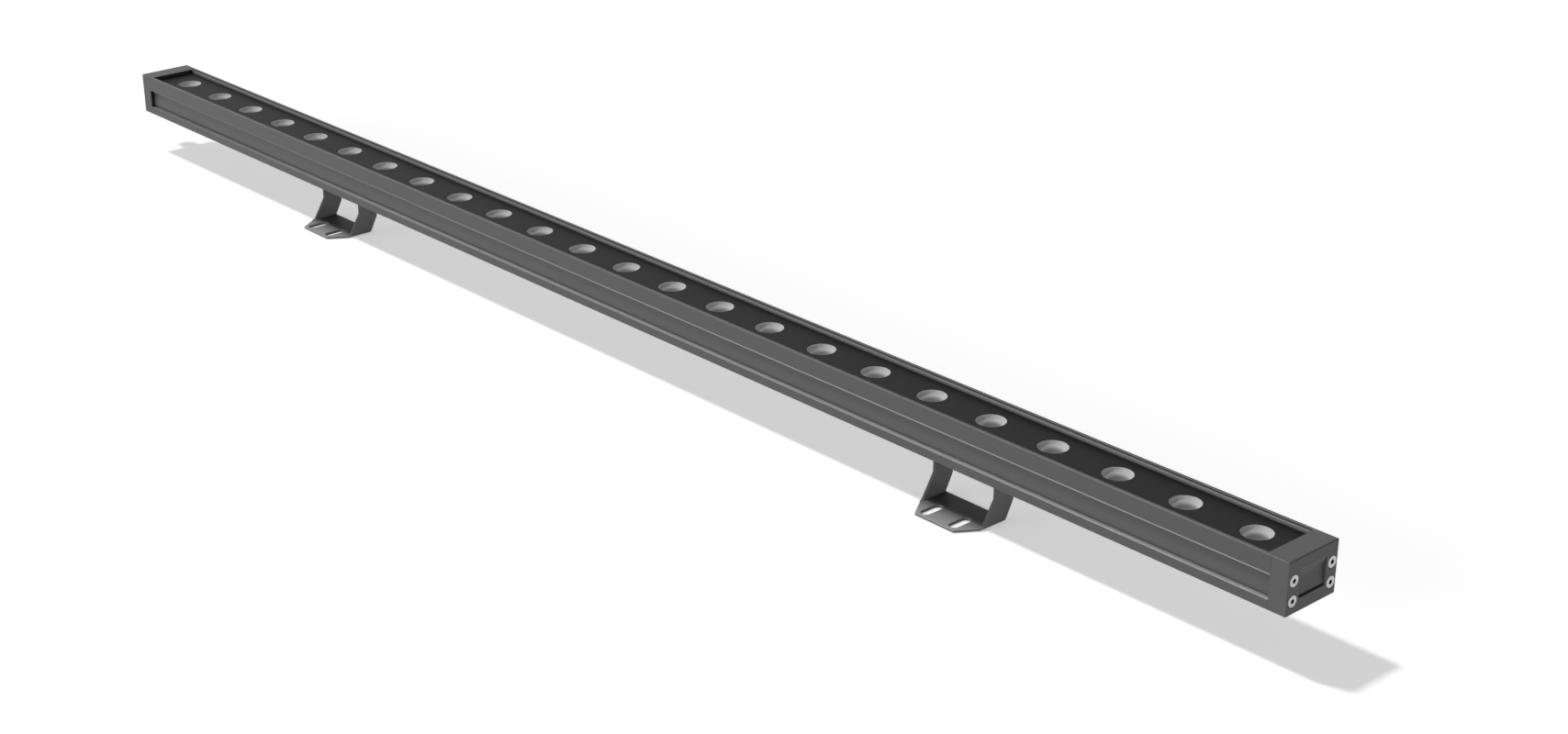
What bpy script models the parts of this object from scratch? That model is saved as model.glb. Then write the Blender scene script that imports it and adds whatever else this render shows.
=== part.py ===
"""Linear LED light fixture: an extruded bar with 24 lens cups on two sliding, tilting feet.

Units are metres and +Z is up. The origin is on the floor, at the centre of the fixture's footprint.
The bar runs along X. Its own frame has x and y at its middle and z at its underside.
"""
import math

import bmesh
import bpy
from mathutils import Matrix, Vector
from mathutils.geometry import tessellate_polygon

# General
SEAT_GAP = 0.0003
OVERRUN = 0.002
ROUND_STEPS = 12

# Bar
BAR_LENGTH = 1.0
BAR_WIDTH = 0.0354
BAR_HEIGHT = 0.0268
EDGE_CHAMFER = 0.0003

# Rims along the top of the extrusion
RIM_WIDTH = 0.0029
RIM_CREST_WIDTH = 0.0017
RIM_STEP = 0.00045
RIM_DEPTH = 0.0028

# Coves along the sides
COVE_DROP = 0.0099
COVE_LIP_DEPTH = 0.0019
COVE_DEPTH = 0.0027
COVE_STEPS = 6
LOWER_BAND = 0.0053

# T-slot under the extrusion
SLOT_NECK_WIDTH = 0.0084
SLOT_WIDTH = 0.0144
SLOT_LIP = 0.0015
SLOT_HEIGHT = 0.0029
SLOT_ROOF = 0.0014

# Chambers and webs of the extrusion
WALL = 0.0015
LOWER_CHAMBER_INSET = 0.0071
UPPER_CHAMBER_INSET = 0.0043
CHAMBER_STEP_SHARE = 0.58
WEB = 0.0016
CHANNEL_INSET = 0.0067
BOARD_GROOVE = 0.0009
DRIVER_GROOVE = 0.0006
SHELF_INSET = 0.0053
MASK_GROOVE = 0.001
LEAD_NOTCH_LENGTH = 0.016
LEAD_NOTCH_WIDTH = 0.013

# Screw ports for the end caps
PORT_INSET = 0.0041
PORT_LOW_SHARE = 0.25
PORT_HIGH_SHARE = 0.624
PORT_RADIUS = 0.0012

# End caps
CAP_LENGTH = 0.0097
CAP_ROUND = 0.0007
CAP_ROUND_STEPS = 3
CAP_HOLE_RADIUS = 0.0014
CAP_SINK_RADIUS = 0.0032
CAP_SINK_DEPTH = 0.0022
LIP_LENGTH = 0.0031
LIP_THICKNESS = 0.0005
GASKET_RECESS = 0.0012
GASKET_WALL = 0.0006
POCKET_MARGIN = 0.001
POCKET_LOW = 0.0066
POCKET_TOP_DROP = 0.0053
POCKET_DEPTH_TOP = 0.0022
POCKET_DEPTH_BOTTOM = 0.0008
SLIT_HEIGHT = 0.0006
SLIT_DEPTH = 0.003

# End gaskets
GASKET_THICKNESS = 0.0009

# End cap screws, sunk in the cap, with a hex socket
CAP_SCREW_HEAD_RADIUS = 0.0029
CAP_SCREW_HEAD_HEIGHT = 0.002
CAP_SCREW_RADIUS = 0.0009
CAP_SCREW_LENGTH = 0.022
CAP_SCREW_CROWN = 0.0002
CAP_SCREW_SOCKET = 0.00125
CAP_SCREW_SOCKET_DEPTH = 0.0013

# Lamp row
LED_COUNT = 24
LED_LEFT_MARGIN = 0.0349
LED_RIGHT_MARGIN = 0.0313
LED_BOARD_THICKNESS = 0.0015
EMITTER_RADIUS = 0.00175
EMITTER_BASE = 0.0009
EMITTER_HEIGHT = 0.0019
PART_SINK = 0.0004

# Mask and its seal
MASK_THICKNESS = 0.0015
SEAL_THICKNESS = 0.0008

# Lens cups
LENS_HEIGHT_SHARE = 0.445
LENS_SIDE_GAP = 0.0016
LENS_FLANGE_RIM = 0.0012
LENS_FLANGE = 0.001
LENS_FOOT_RADIUS = 0.005
LENS_CAVITY_RADIUS = 0.0035
LENS_BOTTOM = 0.0009
LENS_SINK = 0.0002
LENS_STEPS = 16
BOWL_WIDE_SHARE = 0.78
BOWL_WIDE_DEPTH_SHARE = 0.62
BOWL_NARROW_SHARE = 0.4
BOWL_NARROW_DEPTH_SHARE = 0.93

# Current regulator in the lower chamber
DRIVER_LENGTH = 0.18
DRIVER_LIFT_SHARE = 0.17
DRIVER_THICKNESS_SHARE = 0.19
COIL_RADIUS = 0.0032
COIL_HEIGHT_SHARE = 0.68
COIL_COUNT = 3
CAPACITOR_RADIUS = 0.0025
CAPACITOR_HEIGHT_SHARE = 0.74
CAPACITOR_COUNT = 2
CHIP_LENGTH = 0.005
CHIP_WIDTH = 0.004
CHIP_HEIGHT_SHARE = 0.25
TERMINAL_LENGTH = 0.008
TERMINAL_WIDTH = 0.011
TERMINAL_HEIGHT_SHARE = 0.78
PART_MARGIN = 0.009

# Leads from the regulator to the LED board
LEAD_RADIUS_SHARE = 0.22
LEAD_SPACING = 0.005
LEAD_RISE_REACH = 0.009
LEAD_RUN = 0.012
LEAD_ENTRY = 0.002
LEAD_POINTS = 14

# Cable gland on the left end cap
GLAND_HEIGHT = 0.0105
GLAND_HEX_RADIUS = 0.0068
GLAND_HEX_LENGTH = 0.004
GLAND_THREAD_RADIUS = 0.0048
GLAND_STUB_RADIUS = 0.0042
GLAND_STUB_LENGTH = 0.0034
GLAND_BORE_RADIUS = 0.0033
GLAND_NUT_RADIUS = 0.0062
GLAND_NUT_LENGTH = 0.0105
GLAND_NUT_WALL = 0.0017
GLAND_NUT_TIP = 0.0026
GLAND_SEAL_LENGTH = 0.0034

# Feet, bent from sheet
FOOT_HEIGHT = 0.0275
FOOT_LEFT_X = -0.2665
FOOT_RIGHT_X = 0.2955
FOOT_WIDTH = 0.0432
FOOT_SHEET = 0.002
FOOT_BEND = 0.0007
FOOT_BEND_STEPS = 4
FOOT_TOE_WIDTH = 0.0276
FOOT_TOE_REACH = 0.0272
FOOT_EAR_REACH = 0.0152
FOOT_HEEL = 0.0009
FOOT_EAR_HALF = 0.0064
FOOT_FRONT_RISE = 0.0145
FOOT_REAR_RISE = 0.0106
FOOT_CORNER = 0.001
FOOT_SLOT_WIDTH = 0.0055
FOOT_SLOT_LENGTH = 0.014
FOOT_SLOT_SPACING = 0.0194
FOOT_SLOT_INSET = 0.0016

# Hinge of each foot, and the saddle and nut that hold it in the T-slot
HINGE_DROP = 0.0072
SADDLE_SHEET = 0.0018
SADDLE_HALF_WIDTH = 0.005
SADDLE_END_RADIUS = 0.0036
T_NUT_INSET = 0.0023
CLAMP_INSET = 0.007
CLAMP_HEAD_HEIGHT = 0.0022
BOLT_RADIUS = 0.002
BOLT_HEAD_RADIUS = 0.0035
BOLT_HEAD_HEIGHT = 0.002
BOLT_SOCKET = 0.0014
BOLT_SOCKET_DEPTH = 0.0012
NUT_CORNER_RADIUS = 0.004
NUT_THICKNESS = 0.003
BOLT_TAIL = 0.0006

# Places that follow from the sizes above
HALF_WIDTH = BAR_WIDTH / 2
GLAND_REACH = SEAT_GAP + GLAND_HEX_LENGTH + SEAT_GAP + GLAND_NUT_LENGTH
BAR_X = GLAND_REACH / 2
BAR_Y = (FOOT_TOE_REACH - HALF_WIDTH) / 2
CAP_INNER = BAR_LENGTH / 2 - CAP_LENGTH
HOUSING_END = CAP_INNER - SEAT_GAP
RIM_INNER = HALF_WIDTH - RIM_WIDTH
MASK_TOP = BAR_HEIGHT - RIM_DEPTH
MASK_BOTTOM = MASK_TOP - MASK_THICKNESS
SHELF_TOP = MASK_BOTTOM - SEAT_GAP
SHELF_HALF = HALF_WIDTH - SHELF_INSET
SEAL_TOP = SHELF_TOP
SEAL_BOTTOM = SEAL_TOP - SEAL_THICKNESS
CHANNEL_HALF = HALF_WIDTH - CHANNEL_INSET
SLOT_TOP = SLOT_LIP + SLOT_HEIGHT
CHAMBER_FLOOR = SLOT_TOP + SLOT_ROOF
LENS_TOP = MASK_TOP - LENS_SINK
LENS_BASE = LENS_TOP - (MASK_TOP - CHAMBER_FLOOR) * LENS_HEIGHT_SHARE
LENS_FLANGE_TOP = SEAL_BOTTOM - SEAT_GAP
LENS_FLANGE_RADIUS = CHANNEL_HALF - LENS_SIDE_GAP
LENS_RADIUS = LENS_FLANGE_RADIUS - LENS_FLANGE_RIM
LENS_HOLE_RADIUS = LENS_RADIUS + SEAT_GAP
LENS_CAVITY_DEPTH = EMITTER_HEIGHT + EMITTER_BASE
BOARD_TOP = LENS_BASE - SEAT_GAP
BOARD_BOTTOM = BOARD_TOP - LED_BOARD_THICKNESS
CHANNEL_FLOOR = BOARD_BOTTOM - SEAT_GAP
CHAMBER_TOP = CHANNEL_FLOOR - WEB
CHAMBER_HEIGHT = CHAMBER_TOP - CHAMBER_FLOOR
LOWER_CHAMBER_HALF = HALF_WIDTH - LOWER_CHAMBER_INSET
UPPER_CHAMBER_HALF = HALF_WIDTH - UPPER_CHAMBER_INSET
DRIVER_BOTTOM = CHAMBER_FLOOR + CHAMBER_HEIGHT * DRIVER_LIFT_SHARE
DRIVER_TOP = DRIVER_BOTTOM + CHAMBER_HEIGHT * DRIVER_THICKNESS_SHARE
DRIVER_SPACE = CHAMBER_TOP - DRIVER_TOP
TERMINAL_HEIGHT = DRIVER_SPACE * TERMINAL_HEIGHT_SHARE
LEAD_RADIUS = TERMINAL_HEIGHT * LEAD_RADIUS_SHARE
NOTCH_END = HOUSING_END - LEAD_NOTCH_LENGTH
LED_BOARD_LEFT = -NOTCH_END
DRIVER_LEFT = -NOTCH_END + SEAT_GAP
PORT_Y = HALF_WIDTH - PORT_INSET
POCKET_HALF = PORT_Y - CAP_SINK_RADIUS - POCKET_MARGIN
POCKET_HIGH = BAR_HEIGHT - POCKET_TOP_DROP
SADDLE_HALF_LENGTH = FOOT_WIDTH / 2 - FOOT_SHEET - SEAT_GAP
T_NUT_HALF_LENGTH = SADDLE_HALF_LENGTH - T_NUT_INSET
CLAMP_X = T_NUT_HALF_LENGTH - CLAMP_INSET
HOLE_RADIUS = BOLT_RADIUS + SEAT_GAP


def material(name, colour, roughness, metallic=0.0):
    """A Principled material in one colour."""
    made = bpy.data.materials.new(name)
    made.use_nodes = True
    shader = made.node_tree.nodes["Principled BSDF"]
    shader.inputs["Base Color"].default_value = (*colour, 1.0)
    shader.inputs["Roughness"].default_value = roughness
    shader.inputs["Metallic"].default_value = metallic
    made.diffuse_color = (*colour, 1.0)
    return made


def finish(name, bm, look, parent, smooth=False):
    """Close a bmesh into a named object that hangs on its parent empty."""
    bmesh.ops.recalc_face_normals(bm, faces=bm.faces)
    mesh = bpy.data.meshes.new(name)
    bm.to_mesh(mesh)
    bm.free()
    if smooth:
        mesh.shade_smooth()
        mesh.set_sharp_from_angle(angle=math.radians(35))
    if look:
        mesh.materials.append(look)
    made = bpy.data.objects.new(name, mesh)
    bpy.context.collection.objects.link(made)
    made.parent = parent
    return made


def empty(name, place, parent=None):
    """A named empty that carries the pieces of one body."""
    made = bpy.data.objects.new(name, None)
    bpy.context.collection.objects.link(made)
    made.location = place
    made.parent = parent
    return made


def carve(target, cutter, operation="DIFFERENCE"):
    """Cut or trim a piece by another mesh that has the same parent, then drop that mesh."""
    modifier = target.modifiers.new("carve", "BOOLEAN")
    modifier.operation = operation
    modifier.object = cutter
    modifier.solver = "EXACT"
    bpy.context.view_layer.update()
    graph = bpy.context.evaluated_depsgraph_get()
    mesh = bpy.data.meshes.new_from_object(target.evaluated_get(graph))
    target.modifiers.clear()
    mesh.name = target.name
    target.data = mesh
    bpy.data.objects.remove(cutter)


def placed(axis, along, first, second):
    """A point at a place along X, Y or Z, with the two other coordinates in turn."""
    if axis == "X":
        return Vector((along, first, second))
    if axis == "Y":
        return Vector((second, along, first))
    return Vector((first, second, along))


def add_stack(bm, axis, levels):
    """A solid through levels along an axis; each has a place and loops: an outline, then holes."""
    rings = []
    for along, loops in levels:
        rings.append([[bm.verts.new(placed(axis, along, *point)) for point in loop] for loop in loops])
    for lower, upper in zip(rings, rings[1:]):
        for low, high in zip(lower, upper):
            for i in range(len(low)):
                j = (i + 1) % len(low)
                bm.faces.new((low[i], low[j], high[j], high[i]))
    for ring, (_, loops) in ((rings[0], levels[0]), (rings[-1], levels[-1])):
        flat = [vert for loop in ring for vert in loop]
        for triangle in tessellate_polygon([[Vector((*point, 0)) for point in loop] for loop in loops]):
            bm.faces.new([flat[i] for i in triangle])


def add_box(bm, low, high):
    """A box between two opposite corners."""
    outline = [(low[1], low[2]), (high[1], low[2]), (high[1], high[2]), (low[1], high[2])]
    add_stack(bm, "X", [(low[0], [outline]), (high[0], [outline])])


def ring_points(radius, shape, steps):
    """Points of a ring; a hexagon's ring has its corners at the radius."""
    points = []
    for i in range(steps):
        angle = 2 * math.pi * i / steps
        reach = radius
        if shape == "hex":
            off_corner = math.fmod(angle, math.pi / 3) - math.pi / 6
            reach = radius * math.cos(math.pi / 6) / math.cos(off_corner)
        points.append((reach * math.cos(angle), reach * math.sin(angle)))
    return points


def add_turned(bm, profile, steps, matrix, closed=False):
    """A turned solid about local Z. Profile: (radius, height, shape); radius 0 is a pole."""
    rings = []
    for radius, height, shape in profile:
        if radius == 0:
            rings.append([bm.verts.new(matrix @ Vector((0, 0, height)))])
        else:
            points = ring_points(radius, shape, steps)
            rings.append([bm.verts.new(matrix @ Vector((x, y, height))) for x, y in points])
    pairs = list(zip(rings, rings[1:]))
    if closed:
        pairs.append((rings[-1], rings[0]))
    for first, second in pairs:
        for i in range(steps):
            j = (i + 1) % steps
            if len(first) == 1:
                bm.faces.new((first[0], second[j], second[i]))
            elif len(second) == 1:
                bm.faces.new((first[i], first[j], second[0]))
            else:
                bm.faces.new((first[i], first[j], second[j], second[i]))


def axis_matrix(place, direction):
    """Turns local Z to a direction, at a place."""
    turn = Vector((0, 0, 1)).rotation_difference(Vector(direction)).to_matrix().to_4x4()
    return Matrix.Translation(place) @ turn


def circle(centre_a, centre_b, radius, steps):
    """A round hole's loop."""
    turns = [2 * math.pi * i / steps for i in range(steps)]
    return [(centre_a + radius * math.cos(t), centre_b + radius * math.sin(t)) for t in turns]


def arc(centre_a, centre_b, radius, start, end, steps):
    """Points on an arc between two angles in degrees, both ends included."""
    turns = [math.radians(start + (end - start) * i / steps) for i in range(steps + 1)]
    return [(centre_a + radius * math.cos(t), centre_b + radius * math.sin(t)) for t in turns]


def add_cylinder(bm, start, end, radius, steps):
    """A plain round bar between two points."""
    length = (Vector(end) - Vector(start)).length
    profile = [(0, 0, "round"), (radius, 0, "round"), (radius, length, "round"), (0, length, "round")]
    add_turned(bm, profile, steps, axis_matrix(start, Vector(end) - Vector(start)))


def mirrored(half):
    """A closed loop from the points of its right half, listed from the bottom up."""
    return half + [(-a, b) for a, b in reversed(half)]


def cove_points():
    """The right cove, from its ledge up to its lip."""
    low = LOWER_BAND
    high = BAR_HEIGHT - COVE_DROP
    points = []
    for i in range(COVE_STEPS + 1):
        share = i / COVE_STEPS
        depth = COVE_LIP_DEPTH + (COVE_DEPTH - COVE_LIP_DEPTH) * math.cos(share * math.pi / 2)
        points.append((HALF_WIDTH - depth, low + (high - low) * share))
    return points


def housing_outline():
    """The extrusion's outer line with its T-slot and its open channel, right half from the bottom up."""
    lip = BAR_HEIGHT - COVE_DROP
    half = [
        (SLOT_WIDTH / 2, SLOT_TOP),
        (SLOT_WIDTH / 2, SLOT_LIP),
        (SLOT_NECK_WIDTH / 2, SLOT_LIP),
        (SLOT_NECK_WIDTH / 2, 0),
        (HALF_WIDTH - EDGE_CHAMFER, 0),
        (HALF_WIDTH, EDGE_CHAMFER),
        (HALF_WIDTH, LOWER_BAND - EDGE_CHAMFER),
        (HALF_WIDTH - EDGE_CHAMFER, LOWER_BAND),
    ]
    half += cove_points()
    half += [
        (HALF_WIDTH - EDGE_CHAMFER, lip),
        (HALF_WIDTH, lip + EDGE_CHAMFER),
        (HALF_WIDTH, BAR_HEIGHT - EDGE_CHAMFER),
        (HALF_WIDTH - EDGE_CHAMFER, BAR_HEIGHT),
        (HALF_WIDTH - RIM_CREST_WIDTH + EDGE_CHAMFER / 2, BAR_HEIGHT),
        (HALF_WIDTH - RIM_CREST_WIDTH, BAR_HEIGHT - EDGE_CHAMFER / 2),
        (HALF_WIDTH - RIM_CREST_WIDTH, BAR_HEIGHT - RIM_STEP),
        (RIM_INNER, BAR_HEIGHT - RIM_STEP),
        (RIM_INNER, MASK_TOP + SEAT_GAP),
        (RIM_INNER + MASK_GROOVE, MASK_TOP + SEAT_GAP),
        (RIM_INNER + MASK_GROOVE, SHELF_TOP),
        (SHELF_HALF, SHELF_TOP),
        (SHELF_HALF, SEAL_BOTTOM - SEAT_GAP),
        (CHANNEL_HALF, SEAL_BOTTOM - SEAT_GAP),
        (CHANNEL_HALF, BOARD_TOP + SEAT_GAP),
        (CHANNEL_HALF + BOARD_GROOVE, BOARD_TOP + SEAT_GAP),
        (CHANNEL_HALF + BOARD_GROOVE, CHANNEL_FLOOR),
    ]
    return mirrored(half)


def chamber_outline():
    """The closed lower chamber, with a groove for the regulator's board."""
    step = CHAMBER_FLOOR + CHAMBER_HEIGHT * CHAMBER_STEP_SHARE
    groove_low = DRIVER_BOTTOM - SEAT_GAP
    groove_high = DRIVER_TOP + SEAT_GAP
    return mirrored([
        (LOWER_CHAMBER_HALF, CHAMBER_FLOOR),
        (LOWER_CHAMBER_HALF, groove_low),
        (LOWER_CHAMBER_HALF + DRIVER_GROOVE, groove_low),
        (LOWER_CHAMBER_HALF + DRIVER_GROOVE, groove_high),
        (LOWER_CHAMBER_HALF, groove_high),
        (LOWER_CHAMBER_HALF, step),
        (UPPER_CHAMBER_HALF, step),
        (UPPER_CHAMBER_HALF, CHAMBER_TOP),
    ])


def foot_hollow(side):
    """The hollow beside the T-slot; side is 1 or -1."""
    inner = side * (SLOT_WIDTH / 2 + WALL)
    outer = side * (HALF_WIDTH - WALL)
    top = LOWER_BAND - WALL
    return [(inner, WALL), (outer, WALL), (outer, top), (inner, top)]


def port_places():
    """The four screw ports in the bar's section."""
    low = BAR_HEIGHT * PORT_LOW_SHARE
    high = BAR_HEIGHT * PORT_HIGH_SHARE
    return [(-PORT_Y, low), (PORT_Y, low), (PORT_Y, high), (-PORT_Y, high)]


def make_housing(bar, look):
    loops = [housing_outline(), chamber_outline(), foot_hollow(1), foot_hollow(-1)]
    loops += [circle(y, z, PORT_RADIUS, ROUND_STEPS) for y, z in port_places()]
    bm = bmesh.new()
    add_stack(bm, "X", [(-HOUSING_END, loops), (HOUSING_END, loops)])
    housing = finish("housing", bm, look, bar)
    bm = bmesh.new()
    half = LEAD_NOTCH_WIDTH / 2
    low = (-HOUSING_END - OVERRUN, -half, CHAMBER_TOP - WEB / 2)
    high = (-NOTCH_END, half, CHANNEL_FLOOR + SEAT_GAP)
    add_box(bm, low, high)
    carve(housing, finish("notch", bm, None, bar))


def chamfered_rectangle(half_a, low, high, cut):
    """A rectangle about a = 0 with its corners cut."""
    return mirrored([(half_a - cut, low), (half_a, low + cut), (half_a, high - cut), (half_a - cut, high)])


def cap_levels():
    """Levels of the right end cap, from its inner face to its rounded outer face."""
    face = BAR_LENGTH / 2
    places = [(CAP_INNER, 0)]
    for i in range(CAP_ROUND_STEPS + 1):
        turn = i / CAP_ROUND_STEPS * math.pi / 2
        places.append((face - CAP_ROUND + CAP_ROUND * math.sin(turn), 1 - math.cos(turn)))
    levels = []
    for along, share in places:
        inset = EDGE_CHAMFER * share
        half = HALF_WIDTH - CAP_ROUND * share
        loops = [chamfered_rectangle(half, inset, BAR_HEIGHT - inset, EDGE_CHAMFER)]
        loops += [circle(y, z, CAP_HOLE_RADIUS, ROUND_STEPS) for y, z in port_places()]
        levels.append((along, loops))
    return levels


def make_cap(bar, look, side):
    """An end cap; side is 1 for the right one and -1 for the left one, which is turned about Z."""
    name = "end_cap_right" if side > 0 else "end_cap_left"
    turned = empty(name + "_frame", (0, 0, 0), bar)
    turned.rotation_euler = (0, 0, 0 if side > 0 else math.pi)
    bm = bmesh.new()
    add_stack(bm, "X", cap_levels())
    cap = finish(name, bm, look, turned)
    bm = bmesh.new()
    half = RIM_INNER - SEAT_GAP
    wall_depth = GASKET_RECESS / 2
    low = (CAP_INNER - LIP_LENGTH, -half, BAR_HEIGHT - LIP_THICKNESS)
    add_box(bm, low, (CAP_INNER + wall_depth, half, BAR_HEIGHT))
    carve(cap, finish("lip", bm, None, turned), "UNION")
    bm = bmesh.new()
    outline = chamfered_rectangle(HALF_WIDTH - GASKET_WALL, GASKET_WALL, BAR_HEIGHT - GASKET_WALL, EDGE_CHAMFER)
    add_stack(bm, "X", [(CAP_INNER - SEAT_GAP, [outline]), (CAP_INNER + GASKET_RECESS, [outline])])
    carve(cap, finish("recess", bm, None, turned))
    bm = bmesh.new()
    for y, z in port_places():
        sunk = (BAR_LENGTH / 2 - CAP_SINK_DEPTH, y, z)
        add_cylinder(bm, sunk, (BAR_LENGTH / 2 + OVERRUN, y, z), CAP_SINK_RADIUS, ROUND_STEPS)
    carve(cap, finish("screw_sinks", bm, None, turned))
    if side > 0:
        cut_pocket(cap, turned)
    else:
        bm = bmesh.new()
        inner = (CAP_INNER, 0, GLAND_HEIGHT)
        outer = (BAR_LENGTH / 2 + OVERRUN, 0, GLAND_HEIGHT)
        add_cylinder(bm, inner, outer, GLAND_THREAD_RADIUS + SEAT_GAP, ROUND_STEPS)
        carve(cap, finish("gland_hole", bm, None, turned))
    return turned


def cut_pocket(cap, parent):
    """The shallow pocket in the right cap's face, with a deep slit along its lower edge."""
    face = BAR_LENGTH / 2
    outside = face + OVERRUN
    half = POCKET_HALF
    bm = bmesh.new()
    outline = [
        (POCKET_LOW, face - POCKET_DEPTH_BOTTOM),
        (POCKET_HIGH, face - POCKET_DEPTH_TOP),
        (POCKET_HIGH, outside),
        (POCKET_LOW, outside),
    ]
    add_stack(bm, "Y", [(-half, [outline]), (half, [outline])])
    carve(cap, finish("pocket", bm, None, parent))
    bm = bmesh.new()
    low = (face - SLIT_DEPTH, -half, POCKET_LOW)
    add_box(bm, low, (face - POCKET_DEPTH_BOTTOM / 2, half, POCKET_LOW + SLIT_HEIGHT))
    carve(cap, finish("slit", bm, None, parent))


def make_gasket(name, look, parent):
    """The rubber gasket in a cap's recess, with a tab that closes the channel under the cap's lip."""
    inset = GASKET_WALL + SEAT_GAP
    outline = chamfered_rectangle(HALF_WIDTH - inset, inset, BAR_HEIGHT - inset, EDGE_CHAMFER)
    loops = [outline, circle(0, GLAND_HEIGHT, GLAND_THREAD_RADIUS + SEAT_GAP, ROUND_STEPS)]
    loops += [circle(y, z, CAP_HOLE_RADIUS, ROUND_STEPS) for y, z in port_places()]
    bm = bmesh.new()
    add_stack(bm, "X", [(CAP_INNER, loops), (CAP_INNER + GASKET_THICKNESS, loops)])
    gasket = finish(name, bm, look, parent)
    bm = bmesh.new()
    half = RIM_INNER - SEAT_GAP
    low = (CAP_INNER - LIP_LENGTH + SEAT_GAP, -half, MASK_TOP + SEAT_GAP)
    high = (CAP_INNER + GASKET_THICKNESS / 2, half, BAR_HEIGHT - LIP_THICKNESS - SEAT_GAP)
    add_box(bm, low, high)
    carve(gasket, finish("tab", bm, None, parent), "UNION")


def add_socket_screw(bm, matrix, head, radius, length, crown, socket, socket_depth, head_height):
    """A screw with a hex socket. Local Z leaves the head, whose rim is at the matrix's place."""
    profile = [
        (0, crown - socket_depth, "hex"),
        (socket, crown - socket_depth, "hex"),
        (socket, crown, "hex"),
        (head - crown, crown, "round"),
        (head, 0, "round"),
        (head, -head_height, "round"),
        (radius, -head_height, "round"),
        (radius, -length, "round"),
        (0, -length, "round"),
    ]
    add_turned(bm, profile, ROUND_STEPS, matrix)


def make_cap_screws(name, look, parent):
    """A cap's four screws."""
    for i, (y, z) in enumerate(port_places()):
        bm = bmesh.new()
        matrix = axis_matrix((BAR_LENGTH / 2, y, z), (1, 0, 0))
        add_socket_screw(
            bm, matrix, CAP_SCREW_HEAD_RADIUS, CAP_SCREW_RADIUS, CAP_SCREW_LENGTH,
            CAP_SCREW_CROWN, CAP_SCREW_SOCKET, CAP_SCREW_SOCKET_DEPTH, CAP_SCREW_HEAD_HEIGHT,
        )
        finish(f"{name}_{i + 1}", bm, look, parent, smooth=True)


def led_places():
    """Where the lamps stand along the bar."""
    first = -BAR_LENGTH / 2 + LED_LEFT_MARGIN
    last = BAR_LENGTH / 2 - LED_RIGHT_MARGIN
    return [first + (last - first) * i / (LED_COUNT - 1) for i in range(LED_COUNT)]


def make_strip(name, look, parent, left, right, half, low, high, hole, steps):
    """A flat strip with a round hole over each lamp, or none where hole is 0."""
    loops = [[(left, -half), (right, -half), (right, half), (left, half)]]
    if hole:
        loops += [circle(x, 0, hole, steps) for x in led_places()]
    bm = bmesh.new()
    add_stack(bm, "Z", [(low, loops), (high, loops)])
    return finish(name, bm, look, parent)


def make_lamp_row(bar, looks):
    """The LED board with its soldered emitters, the lens cups, their seal and the mask."""
    end = HOUSING_END
    half = CHANNEL_HALF + BOARD_GROOVE - SEAT_GAP
    board = make_strip("led_board", looks["board"], bar, LED_BOARD_LEFT, end, half, BOARD_BOTTOM, BOARD_TOP, 0, 0)
    bm = bmesh.new()
    for x in led_places():
        profile = [
            (0, -PART_SINK, "round"),
            (EMITTER_RADIUS, -PART_SINK, "round"),
            (EMITTER_RADIUS, EMITTER_BASE, "round"),
            (EMITTER_RADIUS * BOWL_WIDE_SHARE, (EMITTER_BASE + EMITTER_HEIGHT) / 2, "round"),
            (0, EMITTER_HEIGHT, "round"),
        ]
        add_turned(bm, profile, ROUND_STEPS, Matrix.Translation((x, 0, BOARD_TOP)))
    carve(board, finish("emitters", bm, None, bar), "UNION")
    make_strip(
        "lens_seal", looks["silicone"], bar, -end, end, SHELF_HALF - SEAT_GAP, SEAL_BOTTOM, SEAL_TOP,
        LENS_HOLE_RADIUS, LENS_STEPS,
    )
    mask_half = RIM_INNER + MASK_GROOVE - SEAT_GAP
    make_strip(
        "mask_plate", looks["mask"], bar, -end, end, mask_half, MASK_BOTTOM, MASK_TOP, LENS_HOLE_RADIUS, LENS_STEPS,
    )
    for i, x in enumerate(led_places()):
        make_lens(f"lens_{i + 1:02d}", looks["lens"], bar, x)


def make_lens(name, look, parent, x):
    """A lens cup: a cone on the board with a cavity over the emitter, a flange and a bowl on top."""
    bowl_floor = LENS_BASE + LENS_CAVITY_DEPTH + LENS_BOTTOM
    depth = LENS_TOP - bowl_floor
    profile = [
        (0, LENS_BASE + LENS_CAVITY_DEPTH, "round"),
        (LENS_CAVITY_RADIUS, LENS_BASE, "round"),
        (LENS_FOOT_RADIUS, LENS_BASE, "round"),
        (LENS_FLANGE_RADIUS, LENS_FLANGE_TOP - LENS_FLANGE, "round"),
        (LENS_FLANGE_RADIUS, LENS_FLANGE_TOP, "round"),
        (LENS_RADIUS, LENS_FLANGE_TOP, "round"),
        (LENS_RADIUS, LENS_TOP, "round"),
        (LENS_RADIUS * BOWL_WIDE_SHARE, LENS_TOP - depth * BOWL_WIDE_DEPTH_SHARE, "round"),
        (LENS_RADIUS * BOWL_NARROW_SHARE, LENS_TOP - depth * BOWL_NARROW_DEPTH_SHARE, "round"),
        (0, bowl_floor, "round"),
    ]
    bm = bmesh.new()
    add_turned(bm, profile, LENS_STEPS, Matrix.Translation((x, 0, 0)))
    finish(name, bm, look, parent, smooth=True)


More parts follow.
